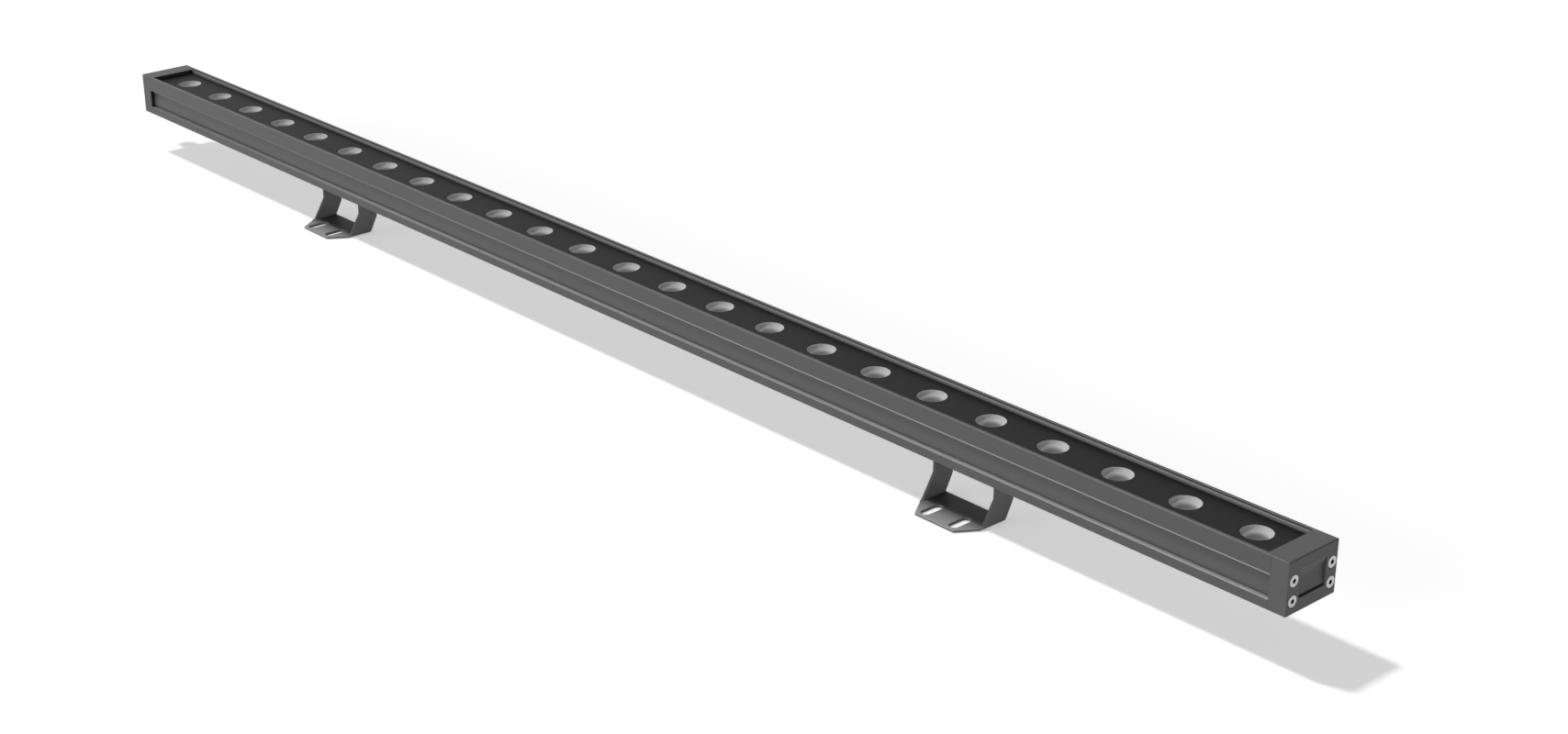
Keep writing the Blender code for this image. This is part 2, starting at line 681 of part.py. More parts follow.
def make_driver(bar, looks):
    """The current regulator's board in the lower chamber, with its soldered parts."""
    left = DRIVER_LEFT
    right = left + DRIVER_LENGTH
    half = LOWER_CHAMBER_HALF + DRIVER_GROOVE - SEAT_GAP
    board = make_strip("driver_board", looks["circuit"], bar, left, right, half, DRIVER_BOTTOM, DRIVER_TOP, 0, 0)
    seat = DRIVER_TOP - PART_SINK
    block = left + LEAD_RUN
    first = right - PART_MARGIN
    last = block + TERMINAL_LENGTH + PART_MARGIN
    pitch = (first - last) / (COIL_COUNT + CAPACITOR_COUNT - 1)
    bm = bmesh.new()
    for i in range(COIL_COUNT + CAPACITOR_COUNT):
        x = first - i * pitch
        radius = COIL_RADIUS if i < COIL_COUNT else CAPACITOR_RADIUS
        share = COIL_HEIGHT_SHARE if i < COIL_COUNT else CAPACITOR_HEIGHT_SHARE
        add_cylinder(bm, (x, 0, seat), (x, 0, DRIVER_TOP + DRIVER_SPACE * share), radius, ROUND_STEPS)
    for i in range(COIL_COUNT):
        x = first - (i + 1 / 2) * pitch
        low = (x - CHIP_LENGTH / 2, -CHIP_WIDTH / 2, seat)
        high = (x + CHIP_LENGTH / 2, CHIP_WIDTH / 2, DRIVER_TOP + DRIVER_SPACE * CHIP_HEIGHT_SHARE)
        add_box(bm, low, high)
    outline = [
        (-TERMINAL_WIDTH / 2, seat),
        (TERMINAL_WIDTH / 2, seat),
        (TERMINAL_WIDTH / 2, DRIVER_TOP + TERMINAL_HEIGHT),
        (-TERMINAL_WIDTH / 2, DRIVER_TOP + TERMINAL_HEIGHT),
    ]
    mouth = LEAD_RADIUS + SEAT_GAP
    holes = [circle(y, DRIVER_TOP + TERMINAL_HEIGHT / 2, mouth, ROUND_STEPS) for y in lead_places()]
    add_stack(bm, "X", [(block, [outline] + holes), (block + TERMINAL_LENGTH, [outline] + holes)])
    carve(board, finish("parts", bm, None, bar), "UNION")


def lead_places():
    """Where the two leads run side by side."""
    return (-LEAD_SPACING / 2, LEAD_SPACING / 2)


def smooth_route(corners, count):
    """Evenly numbered points on a Catmull-Rom curve through the corners."""
    ends = [corners[0]] + corners + [corners[-1]]
    points = []
    for i in range(count):
        place = i / (count - 1) * (len(corners) - 1)
        k = min(int(place), len(corners) - 2)
        t = place - k
        p0, p1, p2, p3 = (Vector(p) for p in ends[k:k + 4])
        point = 2 * p1 + (p2 - p0) * t + (2 * p0 - 5 * p1 + 4 * p2 - p3) * t ** 2
        points.append((point + (3 * p1 - p0 - 3 * p2 + p3) * t ** 3) / 2)
    return points


def make_leads(bar, look):
    """Two leads from the regulator's board, up through the web's notch, to the LED board."""
    low = DRIVER_TOP + TERMINAL_HEIGHT / 2
    high = BOARD_TOP + SEAT_GAP + LEAD_RADIUS
    rise = LED_BOARD_LEFT - LEAD_RISE_REACH
    for number, y in enumerate(lead_places()):
        name = f"jumper_lead_{number + 1}"
        corners = [
            (DRIVER_LEFT + LEAD_RUN + LEAD_ENTRY, y, low),
            (DRIVER_LEFT + LEAD_ENTRY, y, low),
            (rise, y, (low + CHAMBER_TOP) / 2),
            (rise, y, BOARD_TOP),
            (LED_BOARD_LEFT - LEAD_RADIUS, y, high + LEAD_RADIUS),
            (LED_BOARD_LEFT + LEAD_ENTRY, y, high),
        ]
        points = smooth_route(corners, LEAD_POINTS)
        curve = bpy.data.curves.new(name, "CURVE")
        curve.dimensions = "3D"
        curve.bevel_depth = LEAD_RADIUS
        curve.bevel_resolution = 1
        curve.use_fill_caps = True
        curve.resolution_u = 1
        curve.materials.append(look)
        spline = curve.splines.new("POLY")
        spline.points.add(len(points) - 1)
        for slot, point in zip(spline.points, points):
            slot.co = (*point, 1.0)
        made = bpy.data.objects.new(name, curve)
        bpy.context.collection.objects.link(made)
        made.parent = bar


def make_gland(looks, parent):
    """The cable gland in the left cap; the cap's turned frame has it leave along +X."""
    place = (BAR_LENGTH / 2 + SEAT_GAP, 0, GLAND_HEIGHT)
    matrix = axis_matrix(place, (1, 0, 0))
    inner = -(CAP_LENGTH - GASKET_RECESS)
    stub = GLAND_HEX_LENGTH + GLAND_STUB_LENGTH
    body = [
        (GLAND_BORE_RADIUS, inner, "round"),
        (GLAND_THREAD_RADIUS, inner, "round"),
        (GLAND_THREAD_RADIUS, 0, "round"),
        (GLAND_HEX_RADIUS, 0, "hex"),
        (GLAND_HEX_RADIUS, GLAND_HEX_LENGTH, "hex"),
        (GLAND_STUB_RADIUS, GLAND_HEX_LENGTH, "round"),
        (GLAND_STUB_RADIUS, stub, "round"),
        (GLAND_BORE_RADIUS, stub, "round"),
    ]
    bm = bmesh.new()
    add_turned(bm, body, ROUND_STEPS, matrix, closed=True)
    finish("gland_body", bm, looks["gland"], parent, smooth=True)
    start = GLAND_HEX_LENGTH + SEAT_GAP
    end = start + GLAND_NUT_LENGTH
    cavity = GLAND_NUT_RADIUS - GLAND_NUT_WALL
    cavity_end = end - GLAND_NUT_TIP
    nut = [
        (cavity, start, "round"),
        (GLAND_NUT_RADIUS, start, "round"),
        (GLAND_NUT_RADIUS, cavity_end, "round"),
        (cavity, end, "round"),
        (GLAND_BORE_RADIUS, end, "round"),
        (GLAND_BORE_RADIUS, cavity_end, "round"),
        (cavity, cavity_end, "round"),
    ]
    bm = bmesh.new()
    add_turned(bm, nut, ROUND_STEPS, matrix, closed=True)
    finish("gland_nut", bm, looks["gland"], parent, smooth=True)
    seal_start = stub + SEAT_GAP
    seal_end = seal_start + GLAND_SEAL_LENGTH
    seal = [
        (GLAND_BORE_RADIUS, seal_start, "round"),
        (GLAND_STUB_RADIUS, seal_start, "round"),
        (GLAND_STUB_RADIUS, seal_end, "round"),
        (GLAND_BORE_RADIUS, seal_end, "round"),
    ]
    bm = bmesh.new()
    add_turned(bm, seal, ROUND_STEPS, matrix, closed=True)
    finish("gland_seal", bm, looks["rubber"], parent, smooth=True)


def channel_outline(half, low, high, sheet, bend):
    """A bent sheet's U section as (z, x): a web at low, and two arms that end at high."""
    outer = bend + sheet
    if high < low:
        return [(-a, b) for a, b in channel_outline(half, -low, -high, sheet, bend)]
    right = [(low, 0)]
    right += [(low + outer + a, half - outer + b) for a, b in arc(0, 0, outer, 180, 90, FOOT_BEND_STEPS)]
    right += [(high, half), (high, half - sheet)]
    right += [(low + outer + a, half - outer + b) for a, b in arc(0, 0, bend, 90, 180, FOOT_BEND_STEPS)]
    right += [(low + sheet, 0)]
    left = [(a, -b) for a, b in reversed(right) if b]
    return right + left


def ear_outline(floor):
    """The foot from its side as (y, z): the base's edge, the leaning ear and its round top."""
    half = FOOT_EAR_HALF
    lift = FOOT_SHEET + SEAT_GAP
    lean = (FOOT_EAR_REACH - half) / FOOT_FRONT_RISE
    points = [
        (-FOOT_TOE_REACH - OVERRUN, floor - OVERRUN),
        (FOOT_HEEL, floor - OVERRUN),
        (FOOT_HEEL, floor),
        (half, floor + FOOT_REAR_RISE),
    ]
    points += arc(0, 0, half, 0, 180, 2 * FOOT_BEND_STEPS)
    points += [
        (-half, floor + FOOT_FRONT_RISE),
        (-FOOT_EAR_REACH + lean * lift, floor + lift),
        (-FOOT_TOE_REACH - OVERRUN, floor + lift),
    ]
    return points


def base_outline():
    """The foot from above as (x, y): a toe with round corners that widens to the ears."""
    toe = FOOT_TOE_WIDTH / 2
    half = FOOT_WIDTH / 2
    back = FOOT_EAR_HALF + OVERRUN
    right = arc(toe - FOOT_CORNER, -FOOT_TOE_REACH + FOOT_CORNER, FOOT_CORNER, -90, -30, FOOT_BEND_STEPS)
    right += [(half, -FOOT_EAR_REACH), (half + OVERRUN, -FOOT_EAR_REACH + OVERRUN), (half + OVERRUN, back)]
    return mirrored(right)


def stadium(centre_x, front, width, length):
    """A slot's loop along y, from its front end."""
    radius = width / 2
    steps = ROUND_STEPS // 2
    points = arc(centre_x, front + length - radius, radius, 0, 180, steps)
    return points + arc(centre_x, front + radius, radius, 180, 360, steps)


def make_foot(name, look, hinge):
    """One bent-sheet foot. Its parent empty is on the hinge."""
    floor = HINGE_DROP - FOOT_HEIGHT
    section = channel_outline(FOOT_WIDTH / 2, floor, FOOT_EAR_HALF + OVERRUN, FOOT_SHEET, FOOT_BEND)
    bm = bmesh.new()
    add_stack(bm, "Y", [(-FOOT_TOE_REACH - OVERRUN, [section]), (FOOT_EAR_HALF + OVERRUN, [section])])
    foot = finish(name, bm, look, hinge)
    wide = FOOT_WIDTH / 2 + OVERRUN
    bm = bmesh.new()
    add_stack(bm, "X", [(-wide, [ear_outline(floor)]), (wide, [ear_outline(floor)])])
    carve(foot, finish("side", bm, None, hinge), "INTERSECT")
    bm = bmesh.new()
    top = FOOT_EAR_HALF + OVERRUN + OVERRUN
    add_stack(bm, "Z", [(floor - OVERRUN, [base_outline()]), (top, [base_outline()])])
    carve(foot, finish("plan", bm, None, hinge), "INTERSECT")
    bm = bmesh.new()
    for side in (-1, 1):
        loop = stadium(
            side * FOOT_SLOT_SPACING / 2, -FOOT_TOE_REACH + FOOT_SLOT_INSET, FOOT_SLOT_WIDTH, FOOT_SLOT_LENGTH
        )
        add_stack(bm, "Z", [(floor - OVERRUN, [loop]), (floor + FOOT_SHEET + OVERRUN, [loop])])
    carve(foot, finish("slots", bm, None, hinge))
    bm = bmesh.new()
    add_cylinder(bm, (-wide, 0, 0), (wide, 0, 0), HOLE_RADIUS, ROUND_STEPS)
    carve(foot, finish("pivot_hole", bm, None, hinge))


def make_saddle(name, look, slider):
    """The bent saddle under the bar, with a lug inside each of the foot's ears."""
    half = SADDLE_HALF_WIDTH
    top = -SEAT_GAP
    reach = -HINGE_DROP - SADDLE_END_RADIUS - OVERRUN
    section = channel_outline(SADDLE_HALF_LENGTH, top, reach, SADDLE_SHEET, FOOT_BEND)
    bm = bmesh.new()
    add_stack(bm, "Y", [(-half - OVERRUN, [section]), (half + OVERRUN, [section])])
    saddle = finish(name, bm, look, slider)
    side = [(half, top + OVERRUN), (-half, top + OVERRUN), (-half, top - SADDLE_SHEET)]
    side += arc(0, -HINGE_DROP, SADDLE_END_RADIUS, 180, 360, 2 * FOOT_BEND_STEPS)
    side += [(half, top - SADDLE_SHEET)]
    wide = SADDLE_HALF_LENGTH + OVERRUN
    bm = bmesh.new()
    add_stack(bm, "X", [(-wide, [side]), (wide, [side])])
    carve(saddle, finish("side", bm, None, slider), "INTERSECT")
    bm = bmesh.new()
    add_cylinder(bm, (-wide, 0, -HINGE_DROP), (wide, 0, -HINGE_DROP), HOLE_RADIUS, ROUND_STEPS)
    for x in (-CLAMP_X, CLAMP_X):
        add_cylinder(bm, (x, 0, top - SADDLE_SHEET - SEAT_GAP), (x, 0, top + OVERRUN), HOLE_RADIUS, ROUND_STEPS)
    carve(saddle, finish("holes", bm, None, slider))


def make_t_nut(name, look, slider):
    """The nut in the T-slot: a plate with a key in the slot's neck."""
    half = T_NUT_HALF_LENGTH
    key = SLOT_NECK_WIDTH / 2 - SEAT_GAP
    plate = SLOT_WIDTH / 2 - SEAT_GAP
    bm = bmesh.new()
    add_box(bm, (-half, -plate, SLOT_LIP + SEAT_GAP), (half, plate, SLOT_TOP - SEAT_GAP))
    nut = finish(name, bm, look, slider)
    bm = bmesh.new()
    add_box(bm, (-half, -key, 0), (half, key, SLOT_TOP - SEAT_GAP))
    carve(nut, finish("key", bm, None, slider), "UNION")
    bm = bmesh.new()
    for x in (-CLAMP_X, CLAMP_X):
        add_cylinder(bm, (x, 0, -OVERRUN), (x, 0, SLOT_TOP), HOLE_RADIUS, ROUND_STEPS)
    carve(nut, finish("holes", bm, None, slider))


def make_clamp_screws(name, look, slider):
    """Two screws from below, through the saddle into the nut."""
    head_top = -SEAT_GAP - SADDLE_SHEET - SEAT_GAP
    length = SLOT_TOP - SEAT_GAP - head_top + CLAMP_HEAD_HEIGHT
    for number, x in enumerate((-CLAMP_X, CLAMP_X)):
        bm = bmesh.new()
        add_socket_screw(
            bm, axis_matrix((x, 0, head_top - CLAMP_HEAD_HEIGHT), (0, 0, -1)), BOLT_HEAD_RADIUS, BOLT_RADIUS, length,
            EDGE_CHAMFER, BOLT_SOCKET, BOLT_SOCKET_DEPTH, CLAMP_HEAD_HEIGHT,
        )
        finish(f"{name}_{number + 1}", bm, look, slider, smooth=True)


def make_pivot(side_name, look, slider):
    """The long bolt through both ears and both lugs, with its nut."""
    bolt_side = FOOT_WIDTH / 2 + SEAT_GAP
    face = bolt_side + BOLT_HEAD_HEIGHT
    tip = bolt_side + NUT_THICKNESS + BOLT_TAIL
    bm = bmesh.new()
    add_socket_screw(
        bm, axis_matrix((face, 0, -HINGE_DROP), (1, 0, 0)), BOLT_HEAD_RADIUS, BOLT_RADIUS, face + tip,
        EDGE_CHAMFER, BOLT_SOCKET, BOLT_SOCKET_DEPTH, BOLT_HEAD_HEIGHT,
    )
    finish("pivot_bolt_" + side_name, bm, look, slider, smooth=True)
    nut = [
        (HOLE_RADIUS, bolt_side, "round"),
        (NUT_CORNER_RADIUS, bolt_side, "hex"),
        (NUT_CORNER_RADIUS, bolt_side + NUT_THICKNESS, "hex"),
        (HOLE_RADIUS, bolt_side + NUT_THICKNESS, "round"),
    ]
    bm = bmesh.new()
    add_turned(bm, nut, ROUND_STEPS, axis_matrix((0, 0, -HINGE_DROP), (-1, 0, 0)), closed=True)
    finish("pivot_nut_" + side_name, bm, look, slider)


def make_looks():
    """The materials, one for each kind of surface."""
    return {
        "housing": material("dark_grey_anodised", (0.115, 0.115, 0.117), 0.45, 0.6),
        "cap": material("dark_grey_cast", (0.105, 0.105, 0.107), 0.5, 0.5),
        "rubber": material("black_rubber", (0.012, 0.012, 0.012), 0.8),
        "silicone": material("black_silicone", (0.02, 0.02, 0.02), 0.7),
        "steel": material("bright_steel", (0.55, 0.55, 0.56), 0.3, 1.0),
        "mask": material("black_mask", (0.02, 0.02, 0.021), 0.5),
        "lens": material("frosted_lens", (0.5, 0.5, 0.5), 0.35),
        "board": material("white_board", (0.75, 0.75, 0.72), 0.5),
        "circuit": material("green_circuit", (0.02, 0.12, 0.05), 0.5),
        "lead": material("white_lead", (0.7, 0.7, 0.7), 0.5),
        "gland": material("black_gland", (0.015, 0.015, 0.015), 0.5),
        "foot": material("grey_painted_steel", (0.13, 0.13, 0.132), 0.45, 0.5),
        "zinc": material("zinc_plated", (0.5, 0.5, 0.5), 0.4, 1.0),
    }


def main():
    for item in list(bpy.data.objects):
        bpy.data.objects.remove(item)
    looks = make_looks()
    bar = empty("bar_frame", (BAR_X, BAR_Y, FOOT_HEIGHT))
    make_housing(bar, looks["housing"])
    for side, side_name in ((-1, "left"), (1, "right")):
        cap_frame = make_cap(bar, looks["cap"], side)
        make_gasket("end_gasket_" + side_name, looks["rubber"], cap_frame)
        make_cap_screws("end_cap_screw_" + side_name, looks["steel"], cap_frame)
        if side < 0:
            make_gland(looks, cap_frame)
    make_lamp_row(bar, looks)
    make_driver(bar, looks)
    make_leads(bar, looks["lead"])
    for side_name, x in (("left", FOOT_LEFT_X), ("right", FOOT_RIGHT_X)):
        slider = empty("slider_frame_" + side_name, (x, 0, 0), bar)
        make_saddle("saddle_" + side_name, looks["foot"], slider)
        make_t_nut("t_nut_" + side_name, looks["zinc"], slider)
        make_clamp_screws("clamp_screw_" + side_name, looks["steel"], slider)
        make_pivot(side_name, looks["steel"], slider)
        hinge = empty("hinge_" + side_name, (0, 0, -HINGE_DROP), slider)
        make_foot("foot_" + side_name, looks["foot"], hinge)


main()
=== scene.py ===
"""Looks for the linear LED light fixture: finer shapes, materials, floor, lights and camera.

Lengths are in metres. Places are written in the bar's own frame: x and y at its middle, z at its underside.
"""

import math

import bmesh
import bpy
from mathutils import Matrix, Vector
from mathutils.geometry import tessellate_polygon


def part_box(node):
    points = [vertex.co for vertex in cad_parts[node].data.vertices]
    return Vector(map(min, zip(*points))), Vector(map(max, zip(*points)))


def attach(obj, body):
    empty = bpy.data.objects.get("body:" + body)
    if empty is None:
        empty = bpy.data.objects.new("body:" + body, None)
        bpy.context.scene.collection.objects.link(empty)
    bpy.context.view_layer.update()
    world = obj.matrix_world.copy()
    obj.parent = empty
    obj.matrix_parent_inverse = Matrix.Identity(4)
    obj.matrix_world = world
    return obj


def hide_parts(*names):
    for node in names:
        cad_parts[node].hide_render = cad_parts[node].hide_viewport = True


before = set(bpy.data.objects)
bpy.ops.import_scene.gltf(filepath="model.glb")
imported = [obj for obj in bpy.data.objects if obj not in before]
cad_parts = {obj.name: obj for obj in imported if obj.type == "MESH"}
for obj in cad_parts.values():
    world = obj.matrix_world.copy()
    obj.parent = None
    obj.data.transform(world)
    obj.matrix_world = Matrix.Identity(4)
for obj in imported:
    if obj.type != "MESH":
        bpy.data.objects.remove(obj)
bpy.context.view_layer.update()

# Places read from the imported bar
bar_low, bar_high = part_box("housing")
BAR = Vector(((bar_low.x + bar_high.x) / 2, (bar_low.y + bar_high.y) / 2, bar_low.z))
BAR_MATRIX = Matrix.Translation(BAR)
LEFT_MATRIX = BAR_MATRIX @ Matrix.Rotation(math.pi, 4, "Z")
HOUSING_END = (bar_high.x - bar_low.x) / 2
HALF = (bar_high.y - bar_low.y) / 2
HEIGHT = bar_high.z - bar_low.z
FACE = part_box("end_cap_right")[1].x - BAR.x

# Fineness of the shapes, with angles in degrees, and the margins that cuts and tests use
STEPS = 48
ROUNDING_STEPS = 4
SMOOTH_ANGLE = 35
TURNED_ANGLE = 30
STRAIGHT_ANGLE = 178
OVERRUN = 0.002
FLAT = 0.00001
EDGE_REACH = 0.0004

# Gaps between pieces that touch in the real fixture, and between faces that would share a plane
GAP = 0.0003
TOUCH = 0.00003

# Heights in the bar's section
SLOT_LIP = 0.0015
HOLLOW_TOP = 0.0038
SLOT_TOP = 0.0044
LEDGE = 0.0053
CHAMBER_FLOOR = 0.0058
GROOVE_LOW = 0.0068
GROOVE_HIGH = 0.0082
CHAMBER_SHOULDER = 0.0094
CHAMBER_TOP = 0.012
CHANNEL_FLOOR = 0.0136
BOARD_TOP = 0.0154
LIP = 0.0169
SEAL_BOTTOM = 0.0214
SHELF_TOP = 0.0222
MASK_TOP = 0.024
CREST_STEP = 0.00045

# Half widths in the bar's section
SLOT_NECK_HALF = 0.0042
SLOT_HALF = 0.0072
HOLLOW_INNER = 0.0087
LOWER_CHAMBER_HALF = 0.0106
CHANNEL_HALF = 0.011
GROOVE_HALF = 0.0112
BOARD_HALF = 0.0119
SEAL_HALF = 0.0124
UPPER_CHAMBER_HALF = 0.0134
HOLLOW_OUTER = 0.0162
RIM_INNER = HALF - 0.0029
SHELF_HALF = RIM_INNER + 0.001
CREST_INNER = HALF - 0.0017

# Roundings of the bar's edges
SLOT_NECK_ROUNDING = 0.0001
SLOT_MOUTH_ROUNDING = 0.0002
LEDGE_ROUNDING = 0.0004
LIP_ROUNDING = 0.0006
LIP_BAND = 0.0009
RIM_ROUNDING = 0.0003
CREST_ROUNDING = 0.0002
STEP_ROUNDING = 0.00015

# The cove along each side of the bar, deeper just above the ledge
COVE_STEPS = 20
COVE_DEPTH = 0.0021
COVE_BOW = 0.0007
COVE_LEAN = 1.6
COVE_UNDERCUT = 0.0006
COVE_UNDERCUT_SHARE = 0.12

# Screw ports, and the notch for the leads in the web below the LED board
PORTS = [(-0.0136, 0.0067), (0.0136, 0.0067), (0.0136, 0.0167232), (-0.0136, 0.0167232)]
PORT_RADIUS = 0.0012
PORT_STEPS = 24
NOTCH_LENGTH = 0.016
NOTCH_HALF = 0.0065
NOTCH_DEPTH = 0.0008

# Mask plate
MASK_THICKNESS = 0.0015
MASK_OVER = 0.0007
MASK_HOLE_RADIUS = 0.00825
MASK_CHAMFER = 0.00005

# Lens cups, with heights above the mask's top
LAMPS = 24
CUP_STEPS = 384
CUP_BASE = 0.0157 - MASK_TOP
CUP_FLANGE = 0.0211 - MASK_TOP
CUP_RIM = -0.00008
CUP_RADIUS = 0.0082
CUP_CHAMFER_WIDTH = 0.00005
CUP_CHAMFER_HEIGHT = 0.0001
CUP_FLANGE_RADIUS = 0.0094
CUP_FLANGE_THICKNESS = 0.001
CUP_FOOT_INNER = 0.0035
CUP_FOOT_OUTER = 0.005
CUP_DOME = 0.0028
CUP_FLOOR = CUP_BASE + 0.0037
CUP_FLOOR_STEPS = 5
CUP_SHARP_ANGLE = 50
CUP_DARK_BANDS = slice(4, 8)
BOWL_RADIUS = 0.0077
BOWL_DEPTH = 0.0042
BOWL_CORE = 0.0042
BOWL_STEPS = 16
BOWL_CROWDING = 1.8
FLUTES = (64, 0.00012)
FLUTE_FIRST = 2
FLUTE_LAST = 10

# End caps
CAP_INNER = FACE - 0.0097
CAP_CORNER = 0.0003
CAP_ROUNDING = 0.0007
CAP_ROUNDING_STEPS = 6
CAP_SEAT = 0.0001
RECESS_WALL = 0.0006
RECESS_DEPTH = 0.0012
INNER_OVERRUN = 0.001
LIP_REACH = 0.0031
LIP_ROOT = 0.0006
LIP_WING_GAP = 0.0001
LIP_WING_BOTTOM = HEIGHT - 0.0004
LIP_BOTTOM = HEIGHT - 0.0005
SINK_RADIUS = 0.0031
SINK_DEPTH = 0.0022
SINK_STEPS = 40
BORE_RADIUS = 0.0014
BORE_STEPS = 32
POCKET_HALF = 0.0094
POCKET_LOW = 0.0066
POCKET_DEEP = 0.0152
POCKET_LOW_DEPTH = 0.0008
POCKET_DEPTH = 0.0016
POCKET_FADE = 0.0072
POCKET_STEPS = 12
POCKET_END_LIFT = 0.0001
SLIT_HEIGHT = 0.0009
SLIT_DEPTH = 0.0035
SLIT_FRONT = 0.0004
GLAND_HEIGHT = 0.0105
GLAND_BORE_RADIUS = 0.0051

# Clamps and hinges of the feet
HINGE_DROP = 0.0072
CLAMP_X = 0.01
CLAMP_HEAD_TOP = -0.0046
EAR_FACE = 0.0219
HINGE_HEAD_FACE = EAR_FACE + 0.002
HINGE_TIP = EAR_FACE + 0.0036
NUT_BORE = 0.0023
NUT_CROWN_RADIUS = 0.0036
NUT_RADIUS = 0.004
NUT_CROWN = 0.0003
NUT_THICKNESS = 0.003

# Screws: radii of head, shank and socket, the head's rounding and height, the socket's depth, and the length
CAP_SCREW = {
    "head": 0.0029, "radius": 0.0009, "length": 0.022, "crown": 0.0002,
    "socket": 0.00125, "depth": 0.0013, "head_height": 0.002,
}
CLAMP_SCREW = {
    "head": 0.0035, "radius": 0.002, "length": 0.0087, "crown": 0.0003,
    "socket": 0.0014, "depth": 0.0012, "head_height": 0.0022,
}
HINGE_BOLT = {
    "head": 0.0035, "radius": 0.002, "length": HINGE_HEAD_FACE + HINGE_TIP, "crown": 0.0003,
    "socket": 0.0014, "depth": 0.0012, "head_height": 0.002,
}
SOCKET_CHAMFER = 0.00008
SOCKET_POINT = 0.0003
SOCKET_TAPER = 0.98

# Feet, bent from sheet, with places from the hinge
FOOT_HALF = 0.0216
FOOT_SHEET = 0.0016
FOOT_BEND = 0.0016
FOOT_EAR = 0.0064
FOOT_EAR_STEPS = 24
FOOT_TOE = 0.0272
FOOT_TOE_HALF = 0.0138
FOOT_TOE_CORNER = 0.001
FOOT_SHOULDER = 0.0147
FOOT_SHOULDER_END = 0.0116
FOOT_HEEL = 0.0009
FOOT_REAR_RISE = 0.0106
FOOT_FRONT = 0.0152
FOOT_FRONT_RISE = 0.0145
# The base is drawn in a little at both faces, and the slanted edges this leaves carry a painted highlight.
FOOT_CHAMFER = 0.00022
FOOT_CHAMFER_WIDTH = 0.99
FOOT_TOP_STEP = 0.0001
FOOT_LIFT = FOOT_SHEET + 0.00012
FOOT_SLOT_X = 0.0097
FOOT_SLOT_RADIUS = 0.00275
FOOT_SLOT_LENGTH = 0.014
FOOT_SLOT_INSET = 0.0016
FOOT_SLOT_STEPS = 16
FOOT_HOLE_RADIUS = 0.0023

# How far a face's normal goes along an axis when it counts as level, or as facing or leaning that way
LEVEL = 0.95
FACING = 0.3
LEANING = 0.2

# Cable gland, with places along its axis from the cap
GLAND_STEPS = 96
GLAND_INNER = 0.0033
GLAND_SHANK = 0.0048
GLAND_SHANK_END = -0.0085
GLAND_HEX_FOOT = 0.0058
GLAND_HEX = 0.0068
GLAND_HEX_TOP = 0.0064
GLAND_HEX_END = 0.004
GLAND_HEX_CROWN = 0.0003
GLAND_THREAD = 0.0042
GLAND_THREAD_END = 0.0074
GLAND_NUT_START = 0.0043
GLAND_NUT_END = 0.0148
GLAND_NUT_INNER = 0.0045
GLAND_NUT_EDGE = 0.0059
GLAND_NUT_RADIUS = 0.0062
GLAND_LIP_DEPTH = 0.0026
GLAND_RIBS = (24, 0.0003)

# Small edges of the CAD pieces that keep their shape
SOFT_WIDTH = 0.0002
SOFT_SEGMENTS = 2
SOFT_ANGLE = 50

# Floor, lights and sky
FLOOR_SIZE = 30
FLOOR_COLOUR = (0.96, 0.96, 0.96, 1)
FLOOR_LIFT = 0.43
KEY_STRENGTH = 1.47
KEY_SPREAD = 5
KEY_FROM = (-0.6, -0.18, 1)
FILL_STRENGTH = 1.45
FILL_SPREAD = 50
FILL_FROM = (-0.2, -1, 0.1)
SKY_HIGH = 0.08
SKY_LOW = 1.15
SKY_RISE = 0.5
SKY_LEFT = 1.2
SKY_RIGHT = 0.72

# Camera
CAMERA_LENS = 57.11
CAMERA_SENSOR = 36
CAMERA_NEAR = 0.01
CAMERA_FAR = 100
CAMERA_PLACE = Vector((1.0601, -0.8188, 0.5232))
CAMERA_RIGHT = Vector((0.6705, 0.7419, 0.0016))
CAMERA_FORWARD = Vector((-0.6824, 0.6176, -0.3911))

# Fine grain of the finishes: drawn out along the bar, and shorter on its strips of painted light and painted
# highlights
DRAWN = (0.02, 1, 1)
PAINTED_LIGHT_GRAIN = (0.05, 1, 1)
NOISE_DETAIL = 3
ROUGHNESS_SPREAD = 0.08
BUMP_DEPTH = 0.0002


def nodes_of(look):
    """A material's nodes, its links and its shader."""
    tree = look.node_tree
    return tree.nodes, tree.links, tree.nodes["Principled BSDF"]


def grey(tone, blue):
    """A grey whose blue may differ a little from its tone."""
    return (tone, tone, blue)


